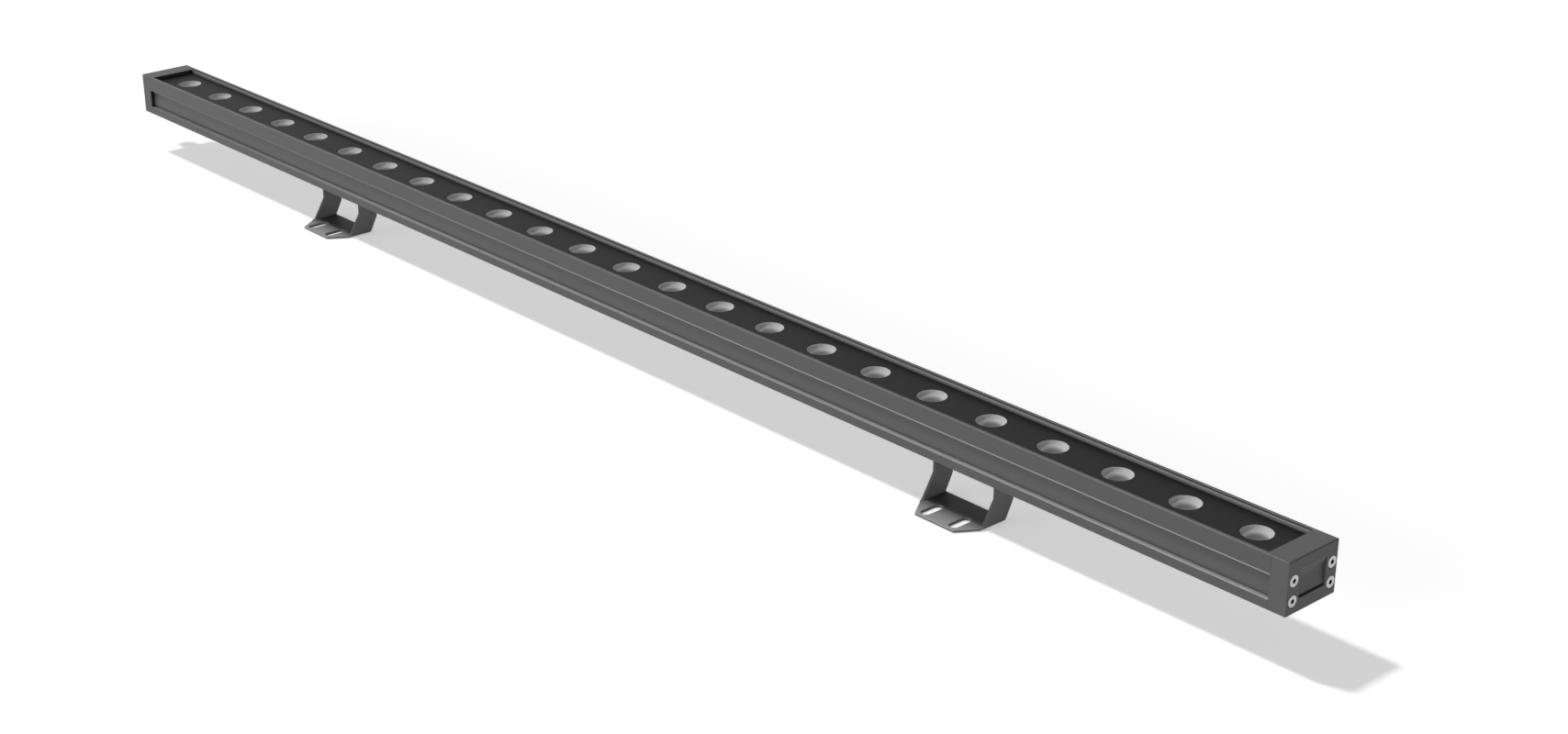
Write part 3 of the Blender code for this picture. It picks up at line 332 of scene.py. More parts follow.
def surface(name, colour, roughness, metallic=0, spread=0.06, grain=1500, stretch=(1, 1, 1), bump=0.03, specular=0.5,
            fade=None, along="Z"):
    """A Principled material with a fine uneven tone, roughness and bump that follow one noise.

    fade is (low, high, share): between two places along an axis of the object the tone goes to that share at low.
    """
    look = bpy.data.materials.new(name)
    look.use_nodes = True
    nodes, links, shader = nodes_of(look)
    shader.inputs["Metallic"].default_value = metallic
    shader.inputs["Specular IOR Level"].default_value = specular
    place = nodes.new("ShaderNodeTexCoord")
    scale = nodes.new("ShaderNodeMapping")
    scale.inputs["Scale"].default_value = stretch
    noise = nodes.new("ShaderNodeTexNoise")
    noise.inputs["Scale"].default_value = grain
    noise.inputs["Detail"].default_value = NOISE_DETAIL
    links.new(place.outputs["Object"], scale.inputs["Vector"])
    links.new(scale.outputs["Vector"], noise.inputs["Vector"])
    tone = nodes.new("ShaderNodeMix")
    tone.data_type = "RGBA"
    dark = [c * (1 - spread) for c in colour]
    light = [min(1, c * (1 + spread)) for c in colour]
    tone.inputs["A"].default_value = (*dark, 1)
    tone.inputs["B"].default_value = (*light, 1)
    links.new(noise.outputs["Fac"], tone.inputs["Factor"])
    shown = tone
    if fade:
        low, high, share = fade
        split = nodes.new("ShaderNodeSeparateXYZ")
        links.new(place.outputs["Object"], split.inputs[0])
        rise = nodes.new("ShaderNodeMapRange")
        rise.interpolation_type = "SMOOTHSTEP"
        rise.inputs["From Min"].default_value = low
        rise.inputs["From Max"].default_value = high
        links.new(split.outputs[along], rise.inputs["Value"])
        shown = nodes.new("ShaderNodeMix")
        shown.data_type = "RGBA"
        shown.inputs["A"].default_value = (*[c * share for c in colour], 1)
        links.new(rise.outputs["Result"], shown.inputs["Factor"])
        links.new(tone.outputs["Result"], shown.inputs["B"])
    links.new(shown.outputs["Result"], shader.inputs["Base Color"])
    matt = nodes.new("ShaderNodeMapRange")
    matt.inputs["To Min"].default_value = roughness - ROUGHNESS_SPREAD
    matt.inputs["To Max"].default_value = roughness + ROUGHNESS_SPREAD
    links.new(noise.outputs["Fac"], matt.inputs["Value"])
    links.new(matt.outputs["Result"], shader.inputs["Roughness"])
    relief = nodes.new("ShaderNodeBump")
    relief.inputs["Strength"].default_value = bump
    relief.inputs["Distance"].default_value = BUMP_DEPTH
    links.new(noise.outputs["Fac"], relief.inputs["Height"])
    links.new(relief.outputs["Normal"], shader.inputs["Normal"])
    look.diffuse_color = (*colour, 1)
    return look


LOOKS = {
    "anodised": surface("dark_anodised", grey(0.104, 0.106), 0.42, 0.15, 0.06, 1400, DRAWN, specular=0.2),
    # Painted highlight: a lighter grey on the rounded top edges of the bar and the caps, and on the rim's inner top
    # edges.
    "edge": surface("anodised_edge_highlight", grey(0.135, 0.137), 0.36, 0.2, 0.06, 700, PAINTED_LIGHT_GRAIN, 0.02, 0.3),
    # Painted highlight: a light band along the lip's lower edge, fading darker towards the left end.
    "lip_highlight": surface("anodised_lip_highlight", grey(0.34, 0.343), 0.34, 0.2, 0.06, 700, PAINTED_LIGHT_GRAIN, 0.02, 0.3,
                           fade=(-0.42, 0.2, 0.36), along="X"),
    # Painted light and painted shade: the rim's inner wall is painted far lighter than the bar, fading darker down
    # towards the black mask.
    "rim_wall_painted_light": surface("anodised_rim_wall_painted_light", grey(0.36, 0.364), 0.4, 0.1, 0.06, 1400, DRAWN, 0.02, 0.3,
                        fade=(MASK_TOP - 0.0002, HEIGHT - 0.0006, 0.28)),
    # Painted shade: the small step on the crest is painted near black, standing in for the line of shade in it.
    "step_painted_shade": surface("anodised_step_painted_shade", grey(0.035, 0.0355), 0.5, 0.1, 0.06, 1400, DRAWN, 0.02, 0.2),
    # Painted shade: the cove is painted darker than the bar under the lip, and lighter towards its bottom.
    "cove": surface("anodised_cove_painted_shade", grey(0.086, 0.088), 0.42, 0.15, 0.06, 1400, DRAWN, specular=0.2,
                    fade=(0.009, 0.0158, 1.4)),
    # Painted light: the ledge's rounded edge and flat top are painted far lighter than the bar, though the lip shades
    # them, and both fade darker towards the left end.
    "ledge_highlight": surface("anodised_ledge_painted_light_edge", grey(0.26, 0.263), 0.34, 0.2, 0.06, 700, PAINTED_LIGHT_GRAIN, 0.02, 0.3,
                          fade=(-0.5, -0.1, 0.6), along="X"),
    "ledge": surface("anodised_ledge_painted_light", grey(0.44, 0.444), 0.36, 0.1, 0.06, 700, PAINTED_LIGHT_GRAIN, 0.02, 0.3,
                     fade=(-0.5, -0.1, 0.6), along="X"),
    "cap": surface("cast_satin", grey(0.122, 0.124), 0.46, 0.1, 0.08, 1800, bump=0.06, specular=0.1),
    # Painted shade: the cap's rounded front edge along the top is painted darker, standing in for a dark reflection
    # on it.
    "cap_edge_painted_shade": surface("cast_front_edge_painted_shade", grey(0.06, 0.061), 0.5, 0.1, 0.08, 1800, bump=0.06, specular=0.1),
    "rubber": surface("black_rubber", grey(0.01, 0.01), 0.75, spread=0.2, bump=0.05, specular=0.3),
    "silicone": surface("black_silicone", grey(0.016, 0.016), 0.65, spread=0.15, grain=900, specular=0.3),
    "steel": surface("bright_steel", grey(0.5, 0.505), 0.34, 0.85, grain=2500),
    "zinc": surface("zinc_plate", grey(0.45, 0.46), 0.4, 0.9, spread=0.15, grain=600),
    "mask": surface("black_mask", grey(0.011, 0.0112), 0.5, spread=0.12, grain=1600, bump=0.04, specular=0.07),
    # Painted shade: the cup's bowl is painted darker towards its bottom.
    "lens": surface("frosted_cup_painted_shade", grey(0.69, 0.693), 0.55, spread=0.05, grain=1200, specular=0.15,
                    fade=(-0.0038, -0.0024, 0.3)),
    "cup_rim": surface("black_cup_rim", grey(0.02, 0.0202), 0.5, spread=0.05, grain=1200, specular=0.07),
    "board": surface("white_solder_mask", grey(0.72, 0.7), 0.45, spread=0.03, grain=500, bump=0.02),
    "circuit": surface("green_solder_mask", (0.02, 0.11, 0.045), 0.4, spread=0.15, grain=500),
    "lead": surface("white_lead", grey(0.66, 0.65), 0.5, spread=0.05, grain=800),
    "gland": surface("black_moulding", grey(0.014, 0.0145), 0.48, spread=0.15, bump=0.05),
    "foot": surface("grey_satin_paint", grey(0.205, 0.208), 0.5, bump=0.05, specular=0.1),
    # Painted light and painted shadow: the base's top is painted much lighter than the ears, and darker towards the
    # rear, where the bar's shadow falls.
    "foot_top_painted_light_and_shadow": surface("grey_paint_painted_light_and_shadow", grey(0.42, 0.424), 0.5, spread=0.1, grain=900, bump=0.05, specular=0.08,
                         fade=(-0.0075, -0.0255, 0.13), along="Y"),
    # Painted shade: a dark grey on the ears' front edges, which face the front light.
    "foot_side": surface("grey_painted_shade_edge", grey(0.09, 0.092), 0.45, bump=0.05, specular=0.2),
    # Painted highlight: a light grey on the slanted front edges of the foot's base.
    "foot_edge_highlight": surface("paint_edge_highlight", grey(0.46, 0.464), 0.4, bump=0.04, specular=0.4),
}
BAR_LOOKS = ["anodised", "edge", "lip_highlight", "rim_wall_painted_light", "step_painted_shade", "cove", "ledge", "ledge_highlight"]
CAP_LOOKS = ["cap", "cap_edge_painted_shade", "edge"]
FOOT_LOOKS = ["foot", "foot_edge_highlight", "foot_top_painted_light_and_shadow", "foot_side"]

# The CAD pieces that keep their shape: how their names start, their look, and the width of their softened edges
KEPT_PIECES = [
    ("end_gasket", "rubber", 0), ("gland_seal", "rubber", 0), ("lens_seal", "silicone", 0), ("led_board", "board", 0),
    ("driver_board", "circuit", 0), ("jumper_lead", "lead", 0), ("saddle", "foot", SOFT_WIDTH),
    ("t_nut", "zinc", SOFT_WIDTH),
]


def mesh_of(name, bm, looks=()):
    """Turns a bmesh into a mesh with its faces outward."""
    bmesh.ops.recalc_face_normals(bm, faces=bm.faces)
    mesh = bpy.data.meshes.new(name)
    bm.to_mesh(mesh)
    bm.free()
    for look in looks:
        mesh.materials.append(LOOKS[look])
    return mesh


def smooth(mesh, angle=SMOOTH_ANGLE):
    """Shades a mesh smooth up to an angle in degrees."""
    mesh.shade_smooth()
    mesh.set_sharp_from_angle(angle=math.radians(angle))


def add_object(name, data, matrix):
    """Links a new object into the scene."""
    made = bpy.data.objects.new(name, data)
    bpy.context.scene.collection.objects.link(made)
    made.matrix_world = matrix
    return made


def piece(name, bm, looks, matrix, body, node, angle=SMOOTH_ANGLE):
    """Puts a bmesh into the scene as a piece that rides on a body and stands for a CAD node."""
    made = add_object(name, mesh_of(name, bm, looks), matrix)
    smooth(made.data, angle)
    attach(made, body)
    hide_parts(node)
    return made


def shape(name, bm, matrix):
    """A loose helper solid for cutting or joining."""
    return add_object(name, mesh_of(name, bm), matrix)


def carve(target, cutter, operation="DIFFERENCE"):
    """Cuts, trims or joins a piece by a helper solid, then drops the helper."""
    modifier = target.modifiers.new("carve", "BOOLEAN")
    modifier.operation = operation
    modifier.object = cutter
    modifier.solver = "EXACT"
    bpy.context.view_layer.update()
    graph = bpy.context.evaluated_depsgraph_get()
    mesh = bpy.data.meshes.new_from_object(target.evaluated_get(graph))
    target.modifiers.clear()
    mesh.name = target.name
    target.data = mesh
    bpy.data.objects.remove(cutter)


def even_normals(made):
    """Keeps flat faces flat beside small rounded edges."""
    weighted = made.modifiers.new("normals", "WEIGHTED_NORMAL")
    weighted.keep_sharp = True
    weighted.weight = 100


def soften(made, width):
    """Rounds a piece's sharp edges."""
    bevel = made.modifiers.new("soften", "BEVEL")
    bevel.width = width
    bevel.segments = SOFT_SEGMENTS
    bevel.limit_method = "ANGLE"
    bevel.angle_limit = math.radians(SOFT_ANGLE)
    bevel.use_clamp_overlap = True
    even_normals(made)


def paint(made, looks, look_of):
    """Gives a carved piece its looks face by face, and its smooth shading again."""
    mesh = made.data
    mesh.materials.clear()
    for look in looks:
        mesh.materials.append(LOOKS[look])
    for face in mesh.polygons:
        face.material_index = looks.index(look_of(face.center, face.normal))
    smooth(mesh)
    even_normals(made)


def placed(axis, along, first, second):
    """A point at a place along an axis and at two places across it."""
    if axis == "X":
        return Vector((along, first, second))
    if axis == "Y":
        return Vector((second, along, first))
    return Vector((first, second, along))


def add_stack(bm, axis, levels):
    """A solid through levels along an axis; each has a place and loops: an outline, then holes."""
    rings = []
    for along, loops in levels:
        rings.append([[bm.verts.new(placed(axis, along, *point)) for point in loop] for loop in loops])
    sides = []
    for lower, upper in zip(rings, rings[1:]):
        for number, (low, high) in enumerate(zip(lower, upper)):
            for i in range(len(low)):
                j = (i + 1) % len(low)
                sides.append((number, i, bm.faces.new((low[i], low[j], high[j], high[i]))))
    for ring, (_, loops) in ((rings[0], levels[0]), (rings[-1], levels[-1])):
        flat = [vert for loop in ring for vert in loop]
        for triangle in tessellate_polygon([[Vector((*point, 0)) for point in loop] for loop in loops]):
            bm.faces.new([flat[i] for i in triangle])
    return sides


def rectangle(low, high):
    """The outline between two opposite corners."""
    return [(low[0], low[1]), (high[0], low[1]), (high[0], high[1]), (low[0], high[1])]


def add_box(bm, low, high):
    """A box between two opposite corners."""
    outline = rectangle(low[1:], high[1:])
    add_stack(bm, "X", [(low[0], [outline]), (high[0], [outline])])


def ring_points(radius, form, steps):
    """A ring that is round, hexagonal with corners at its radius, or fluted by (count, depth)."""
    points = []
    for i in range(steps):
        angle = 2 * math.pi * i / steps
        reach = radius
        if form == "hex":
            off_corner = math.fmod(angle, math.pi / 3) - math.pi / 6
            reach = radius * math.cos(math.pi / 6) / math.cos(off_corner)
        elif form != "round":
            count, depth = form
            reach = radius - depth * (0.5 - 0.5 * math.cos(count * angle))
        points.append((reach * math.cos(angle), reach * math.sin(angle)))
    return points


def add_turned(bm, profile, steps, matrix, closed=False):
    """A turned solid about local Z from (radius, height, form); radius 0 is a pole. Returns its bands of faces."""
    rings = []
    for radius, height, form in profile:
        if radius == 0:
            rings.append([bm.verts.new(matrix @ Vector((0, 0, height)))])
        else:
            rings.append([bm.verts.new(matrix @ Vector((x, y, height))) for x, y in ring_points(radius, form, steps)])
    pairs = list(zip(rings, rings[1:]))
    if closed:
        pairs.append((rings[-1], rings[0]))
    bands = []
    for first, second in pairs:
        band = []
        for i in range(steps):
            j = (i + 1) % steps
            if len(first) == 1:
                band.append(bm.faces.new((first[0], second[j], second[i])))
            elif len(second) == 1:
                band.append(bm.faces.new((first[i], first[j], second[0])))
            else:
                band.append(bm.faces.new((first[i], first[j], second[j], second[i])))
        bands.append(band)
    return bands


def darken(bands):
    """Gives bands of faces a piece's second look."""
    for band in bands:
        for face in band:
            face.material_index = 1


def axis_matrix(place, direction):
    """Puts local Z at a place and along a direction."""
    turn = Vector((0, 0, 1)).rotation_difference(Vector(direction)).to_matrix().to_4x4()
    return Matrix.Translation(place) @ turn


def circle(a, b, radius, steps=STEPS):
    """Points round a circle, without its first one again."""
    turns = [2 * math.pi * i / steps for i in range(steps)]
    return [(a + radius * math.cos(t), b + radius * math.sin(t)) for t in turns]


def arc(a, b, radius, start, end, steps):
    """Points along an arc between two angles in degrees, both ends included."""
    turns = [math.radians(start + (end - start) * i / steps) for i in range(steps + 1)]
    return [(a + radius * math.cos(t), b + radius * math.sin(t)) for t in turns]


def add_cylinder(bm, start, end, radius, steps=STEPS):
    """A plain cylinder between two places."""
    length = (Vector(end) - Vector(start)).length
    profile = [(0, 0, "round"), (radius, 0, "round"), (radius, length, "round"), (0, length, "round")]
    add_turned(bm, profile, steps, axis_matrix(start, Vector(end) - Vector(start)))


def mirrored(half):
    """An outline from its right half: the half, then its mirror image back to the start."""
    return half + [(-a, b) for a, b in reversed(half)]


def rounded(corners):
    """Points of an outline whose corners (a, b, radius) are rounded, each with whether it is on a rounding."""
    points = []
    count = len(corners)
    for i in range(count):
        here = Vector(corners[i][:2])
        before = (Vector(corners[i - 1][:2]) - here).normalized()
        after = (Vector(corners[(i + 1) % count][:2]) - here).normalized()
        radius = corners[i][2]
        turn = before.angle(after)
        if not radius or turn > math.radians(STRAIGHT_ANGLE):
            points.append((tuple(here), False))
            continue
        run = radius / math.tan(turn / 2)
        centre = here + (before + after).normalized() * radius / math.sin(turn / 2)
        first = here + before * run - centre
        last = here + after * run - centre
        sweep = math.pi - turn
        sign = 1 if first.x * last.y - first.y * last.x > 0 else -1
        for k in range(ROUNDING_STEPS + 1):
            angle = sign * sweep * k / ROUNDING_STEPS
            x = first.x * math.cos(angle) - first.y * math.sin(angle)
            y = first.x * math.sin(angle) + first.y * math.cos(angle)
            points.append(((centre.x + x, centre.y + y), True))
    return points


def section():
    """The bar's outer line with its T-slot and open channel, from the bottom up, right half first."""
    half = [
        (SLOT_HALF, SLOT_TOP, 0), (SLOT_HALF, SLOT_LIP, 0), (SLOT_NECK_HALF, SLOT_LIP, SLOT_NECK_ROUNDING),
        (SLOT_NECK_HALF, 0, SLOT_MOUTH_ROUNDING), (HALF, 0, LEDGE_ROUNDING), (HALF, LEDGE, LEDGE_ROUNDING),
    ]
    for i in range(COVE_STEPS + 1):
        share = i / COVE_STEPS
        bow = COVE_BOW * math.sin(math.pi * share ** COVE_LEAN)
        undercut = COVE_UNDERCUT * max(0, 1 - share / COVE_UNDERCUT_SHARE)
        half.append((HALF - COVE_DEPTH - bow - undercut, LEDGE + (LIP - LEDGE) * share, 0))
    half += [
        (HALF, LIP, LIP_ROUNDING), (HALF, LIP + LIP_BAND, 0), (HALF, HEIGHT, RIM_ROUNDING),
        (CREST_INNER, HEIGHT, CREST_ROUNDING), (CREST_INNER, HEIGHT - CREST_STEP, 0),
        (RIM_INNER, HEIGHT - CREST_STEP, STEP_ROUNDING), (RIM_INNER, MASK_TOP + TOUCH, 0),
        (SHELF_HALF, MASK_TOP + TOUCH, 0), (SHELF_HALF, SHELF_TOP, 0), (SEAL_HALF, SHELF_TOP, 0),
        (SEAL_HALF, SEAL_BOTTOM - GAP, 0), (CHANNEL_HALF, SEAL_BOTTOM - GAP, 0), (CHANNEL_HALF, BOARD_TOP + GAP, 0),
        (BOARD_HALF, BOARD_TOP + GAP, 0), (BOARD_HALF, CHANNEL_FLOOR, 0),
    ]
    left = [(-a, b, r) for a, b, r in reversed(half)]
    return rounded(half + left)


def bar_look(first, second):
    """Which look a strip of the extrusion has: its edges get painted highlights, the rim's inner wall and the ledge
    get painted light, and the step and the cove get painted shade.
    """
    across = abs(first[0][0] + second[0][0]) / 2
    height = (first[0][1] + second[0][1]) / 2
    curved = first[1] and second[1]
    # Painted highlight on the rounded top outer edges.
    if across > HALF - EDGE_REACH and height > HEIGHT - EDGE_REACH:
        return "edge"
    # Painted highlight along the lip.
    if across > HALF - LIP_ROUNDING and LIP < height < LIP + LIP_BAND:
        return "lip_highlight"
    # Painted highlight on the ledge's rounded edge, and painted light on its flat top.
    if curved and across > HALF - EDGE_REACH and abs(height - LEDGE) < EDGE_REACH:
        return "ledge_highlight"
    if abs(height - LEDGE) < FLAT:
        return "ledge"
    # Painted highlight on the crest's inner edge.
    if curved and abs(across - CREST_INNER) < EDGE_REACH and height > HEIGHT - EDGE_REACH:
        return "edge"
    # Painted light on the rim's inner wall, with painted shade towards its foot.
    if abs(across - RIM_INNER) < EDGE_REACH and height > MASK_TOP:
        return "edge" if curved else "rim_wall_painted_light"
    # Painted shade on the crest's step.
    if RIM_INNER < across < CREST_INNER + FLAT and height > HEIGHT - CREST_STEP - FLAT:
        return "step_painted_shade"
    # Painted shade in the cove below the lip.
    if LEDGE < height < LIP and SEAL_HALF < across < HALF - COVE_DEPTH + FLAT:
        return "cove"
    return "anodised"


def make_bar():
    """The extrusion, hollow as in the CAD, with a finer outer line and a notch for the leads."""
    points = section()
    outline = [point for point, _ in points]
    looks = [bar_look(points[i], points[(i + 1) % len(points)]) for i in range(len(points))]
    chamber = mirrored([
        (LOWER_CHAMBER_HALF, CHAMBER_FLOOR), (LOWER_CHAMBER_HALF, GROOVE_LOW), (GROOVE_HALF, GROOVE_LOW),
        (GROOVE_HALF, GROOVE_HIGH), (LOWER_CHAMBER_HALF, GROOVE_HIGH), (LOWER_CHAMBER_HALF, CHAMBER_SHOULDER),
        (UPPER_CHAMBER_HALF, CHAMBER_SHOULDER), (UPPER_CHAMBER_HALF, CHAMBER_TOP),
    ])
    hollow = rectangle((HOLLOW_INNER, SLOT_LIP), (HOLLOW_OUTER, HOLLOW_TOP))
    loops = [outline, chamber, hollow, [(-a, b) for a, b in hollow]]
    loops += [circle(y, z, PORT_RADIUS, PORT_STEPS) for y, z in PORTS]
    bm = bmesh.new()
    for number, i, face in add_stack(bm, "X", [(-HOUSING_END, loops), (HOUSING_END, loops)]):
        if number == 0:
            face.material_index = BAR_LOOKS.index(looks[i])
    made = piece("bar_extrusion", bm, BAR_LOOKS, BAR_MATRIX, "fixture", "housing")
    low = (-HOUSING_END - OVERRUN, -NOTCH_HALF, CHAMBER_TOP - NOTCH_DEPTH)
    high = (-HOUSING_END + NOTCH_LENGTH, NOTCH_HALF, CHANNEL_FLOOR + GAP)
    bm = bmesh.new()
    add_box(bm, low, high)
    carve(made, shape("notch", bm, BAR_MATRIX))
    smooth(made.data)
    even_normals(made)


def lamp_places():
    """Where each lamp stands along the bar."""
    places = []
    for i in range(LAMPS):
        low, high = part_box(f"lens_{i + 1:02d}")
        places.append((low.x + high.x) / 2 - BAR.x)
    return places


def make_mask():
    """The black plate over the lenses, with a small chamfer round each hole."""
    half = RIM_INNER + MASK_OVER
    outline = rectangle((-HOUSING_END, -half), (HOUSING_END, half))
    levels = []
    for z, radius in (
        (MASK_TOP - MASK_THICKNESS, MASK_HOLE_RADIUS), (MASK_TOP - MASK_CHAMFER, MASK_HOLE_RADIUS),
        (MASK_TOP, MASK_HOLE_RADIUS + MASK_CHAMFER),
    ):
        levels.append((z, [outline] + [circle(x, 0, radius) for x in lamp_places()]))
    bm = bmesh.new()
    add_stack(bm, "Z", levels)
    piece("lamp_mask", bm, ["mask"], BAR_MATRIX, "fixture", "mask_plate", TURNED_ANGLE)


def cup_mesh():
    """One lens cup about its own axis, with a dark rim and a bowl that is fluted down to its core."""
    profile = [
        (0, CUP_BASE + CUP_DOME, "round"), (CUP_FOOT_INNER, CUP_BASE, "round"), (CUP_FOOT_OUTER, CUP_BASE, "round"),
        (CUP_FLANGE_RADIUS, CUP_FLANGE - CUP_FLANGE_THICKNESS, "round"), (CUP_FLANGE_RADIUS, CUP_FLANGE, "round"),
        (CUP_RADIUS, CUP_FLANGE, "round"), (CUP_RADIUS, CUP_RIM - CUP_CHAMFER_HEIGHT, "round"),
        (CUP_RADIUS - CUP_CHAMFER_WIDTH, CUP_RIM, "round"), (BOWL_RADIUS, CUP_RIM, "round"),
    ]
    for k in range(1, BOWL_STEPS + 1):
        radius = BOWL_RADIUS - (BOWL_RADIUS - BOWL_CORE) * (k / BOWL_STEPS) ** BOWL_CROWDING
        form = FLUTES if FLUTE_FIRST <= k <= FLUTE_LAST else "round"
        profile.append((radius, CUP_RIM - BOWL_DEPTH * math.sqrt(1 - (radius / BOWL_RADIUS) ** 2), form))
    edge = profile[-1][1]
    for k in range(1, CUP_FLOOR_STEPS):
        share = 1 - k / CUP_FLOOR_STEPS
        profile.append((BOWL_CORE * share, CUP_FLOOR + (edge - CUP_FLOOR) * share ** 2, "round"))
    profile.append((0, CUP_FLOOR, "round"))
    bm = bmesh.new()
    bands = add_turned(bm, profile, CUP_STEPS, Matrix.Identity(4))
    darken(bands[CUP_DARK_BANDS])
    mesh = mesh_of("lens_cup", bm, ["lens", "cup_rim"])
    smooth(mesh, CUP_SHARP_ANGLE)
    return mesh


def make_cups():
    """One lens cup at each lamp, all with the same mesh."""
    mesh = cup_mesh()
    for i, x in enumerate(lamp_places()):
        made = add_object(f"lens_cup_{i + 1:02d}", mesh, BAR_MATRIX @ Matrix.Translation((x, 0, MASK_TOP)))
        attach(made, "fixture")
        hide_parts(f"lens_{i + 1:02d}")


def cap_outline(inset_y, inset_z):
    """The cap's outline with rounded corners, drawn in from its sides and from its top and bottom."""
    corners = mirrored([(HALF - inset_y, inset_z), (HALF - inset_y, HEIGHT - inset_z)])
    return [point for point, _ in rounded([(*corner, CAP_CORNER) for corner in corners])]


def cap_look(place, normal):
    """The cap's front edge along the top gets painted shade, a dark line, and the edges beside its lip get a painted
    highlight.
    """
    if place.x > FACE - CAP_ROUNDING and place.z > HEIGHT - EDGE_REACH and normal.z > LEANING:
        return "cap_edge_painted_shade"
    if place.x < FACE - CAP_ROUNDING and abs(place.y) > HALF - EDGE_REACH and place.z > HEIGHT - EDGE_REACH:
        return "edge"
    return "cap"


def cut_pocket(made, matrix):
    """The shallow pocket in the near cap's face, which fades out upwards, and the slit at its bottom."""
    outline = [
        (POCKET_LOW, FACE + OVERRUN), (POCKET_LOW, FACE - POCKET_LOW_DEPTH), (POCKET_DEEP, FACE - POCKET_DEPTH),
    ]
    for i in range(1, POCKET_STEPS + 1):
        share = i / POCKET_STEPS
        depth = POCKET_DEPTH * (0.5 + 0.5 * math.cos(share * math.pi))
        outline.append((POCKET_DEEP + POCKET_FADE * share, FACE - depth + POCKET_END_LIFT * share))
    outline.append((POCKET_DEEP + POCKET_FADE, FACE + OVERRUN))
    bm = bmesh.new()
    add_stack(bm, "Y", [(-POCKET_HALF, [outline]), (POCKET_HALF, [outline])])
    carve(made, shape("pocket", bm, matrix))
    low = (FACE - SLIT_DEPTH, -POCKET_HALF, POCKET_LOW)
    high = (FACE - SLIT_FRONT, POCKET_HALF, POCKET_LOW + SLIT_HEIGHT)
    bm = bmesh.new()
    add_box(bm, low, high)
    carve(made, shape("slit", bm, matrix))


def make_cap(name, matrix, near):
    """An end cap with a rounded front, a recess for the bar's end, a lip over the channel and sunk screw holes.

    It is built at the right end and turned for the left. The near one has a pocket, the far one the gland's bore.
    """
    levels = [(CAP_INNER - GAP + CAP_SEAT, [cap_outline(0, 0)])]
    for i in range(CAP_ROUNDING_STEPS + 1):
        turn = i / CAP_ROUNDING_STEPS * math.pi / 2
        share = 1 - math.cos(turn)
        outline = cap_outline(CAP_ROUNDING * share, CAP_CORNER * share)
        levels.append((FACE - CAP_ROUNDING + CAP_ROUNDING * math.sin(turn), [outline]))
    bm = bmesh.new()
    add_stack(bm, "X", levels)
    made = piece(name.replace("end_", "") + "_casting", bm, ["cap"], matrix, "fixture", name)
    bm = bmesh.new()
    outline = rectangle((-HALF + RECESS_WALL, RECESS_WALL), (HALF - RECESS_WALL, HEIGHT - RECESS_WALL))
    add_stack(bm, "X", [(CAP_INNER - INNER_OVERRUN, [outline]), (CAP_INNER + RECESS_DEPTH, [outline])])
    carve(made, shape("recess", bm, matrix))
    bm = bmesh.new()
    half = RIM_INNER - GAP
    wing = CREST_INNER - LIP_WING_GAP
    outline = [(-wing, HEIGHT - TOUCH), (-wing, LIP_WING_BOTTOM), (-half, LIP_WING_BOTTOM), (-half, LIP_BOTTOM)]
    outline += [(-a, b) for a, b in reversed(outline)]
    add_stack(bm, "X", [(CAP_INNER - LIP_REACH, [outline]), (CAP_INNER + LIP_ROOT, [outline])])
    carve(made, shape("lip", bm, matrix), "UNION")
    bm = bmesh.new()
    for y, z in PORTS:
        add_cylinder(bm, (FACE - SINK_DEPTH, y, z), (FACE + OVERRUN, y, z), SINK_RADIUS, SINK_STEPS)
    carve(made, shape("sinks", bm, matrix))
    bm = bmesh.new()
    for y, z in PORTS:
        add_cylinder(bm, (CAP_INNER - INNER_OVERRUN, y, z), (FACE, y, z), BORE_RADIUS, BORE_STEPS)
    carve(made, shape("bores", bm, matrix))
    if near:
        cut_pocket(made, matrix)
    else:
        bm = bmesh.new()
        add_cylinder(bm, (CAP_INNER, 0, GLAND_HEIGHT), (FACE + OVERRUN, 0, GLAND_HEIGHT), GLAND_BORE_RADIUS)
        carve(made, shape("gland_bore", bm, matrix))
    paint(made, CAP_LOOKS, cap_look)


def add_screw(bm, matrix, head, radius, length, crown, socket, depth, head_height):
    """A screw with a hex socket and a rounded head; local Z leaves the head, whose rim is at the place."""
    profile = [
        (0, crown - depth - SOCKET_POINT, "hex"), (socket * SOCKET_TAPER, crown - depth, "hex"),
        (socket, crown - SOCKET_CHAMFER, "hex"), (socket + SOCKET_CHAMFER, crown, "hex"),
    ]
    rounding = arc(0, 0, crown, 0, 90, ROUNDING_STEPS)
    profile += [(head - crown + reach, height, "round") for height, reach in rounding]
    profile += [
        (head, -head_height, "round"), (radius, -head_height, "round"), (radius, -length, "round"),
        (0, -length, "round"),
    ]
    return add_turned(bm, profile, STEPS, matrix)


def make_screws():
    """The four socket screws of each cap, with painted shade in their sockets."""
    for side, matrix in (("left", LEFT_MATRIX), ("right", BAR_MATRIX)):
        for i, (y, z) in enumerate(PORTS):
            bm = bmesh.new()
            bands = add_screw(bm, axis_matrix((FACE, y, z), (1, 0, 0)), **CAP_SCREW)
            # Painted shade: the socket's faces are given the black moulding look.
            darken(bands[:2])
            name = f"cap_screw_{side}_{i + 1}"
            piece(name, bm, ["steel", "gland"], matrix, "fixture", "end_" + name, TURNED_ANGLE)


def hinge_place(side):
    """Where a foot's hinge is in the world."""
    low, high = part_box("foot_" + side)
    return Vector(((low.x + high.x) / 2, BAR.y, BAR.z - HINGE_DROP))


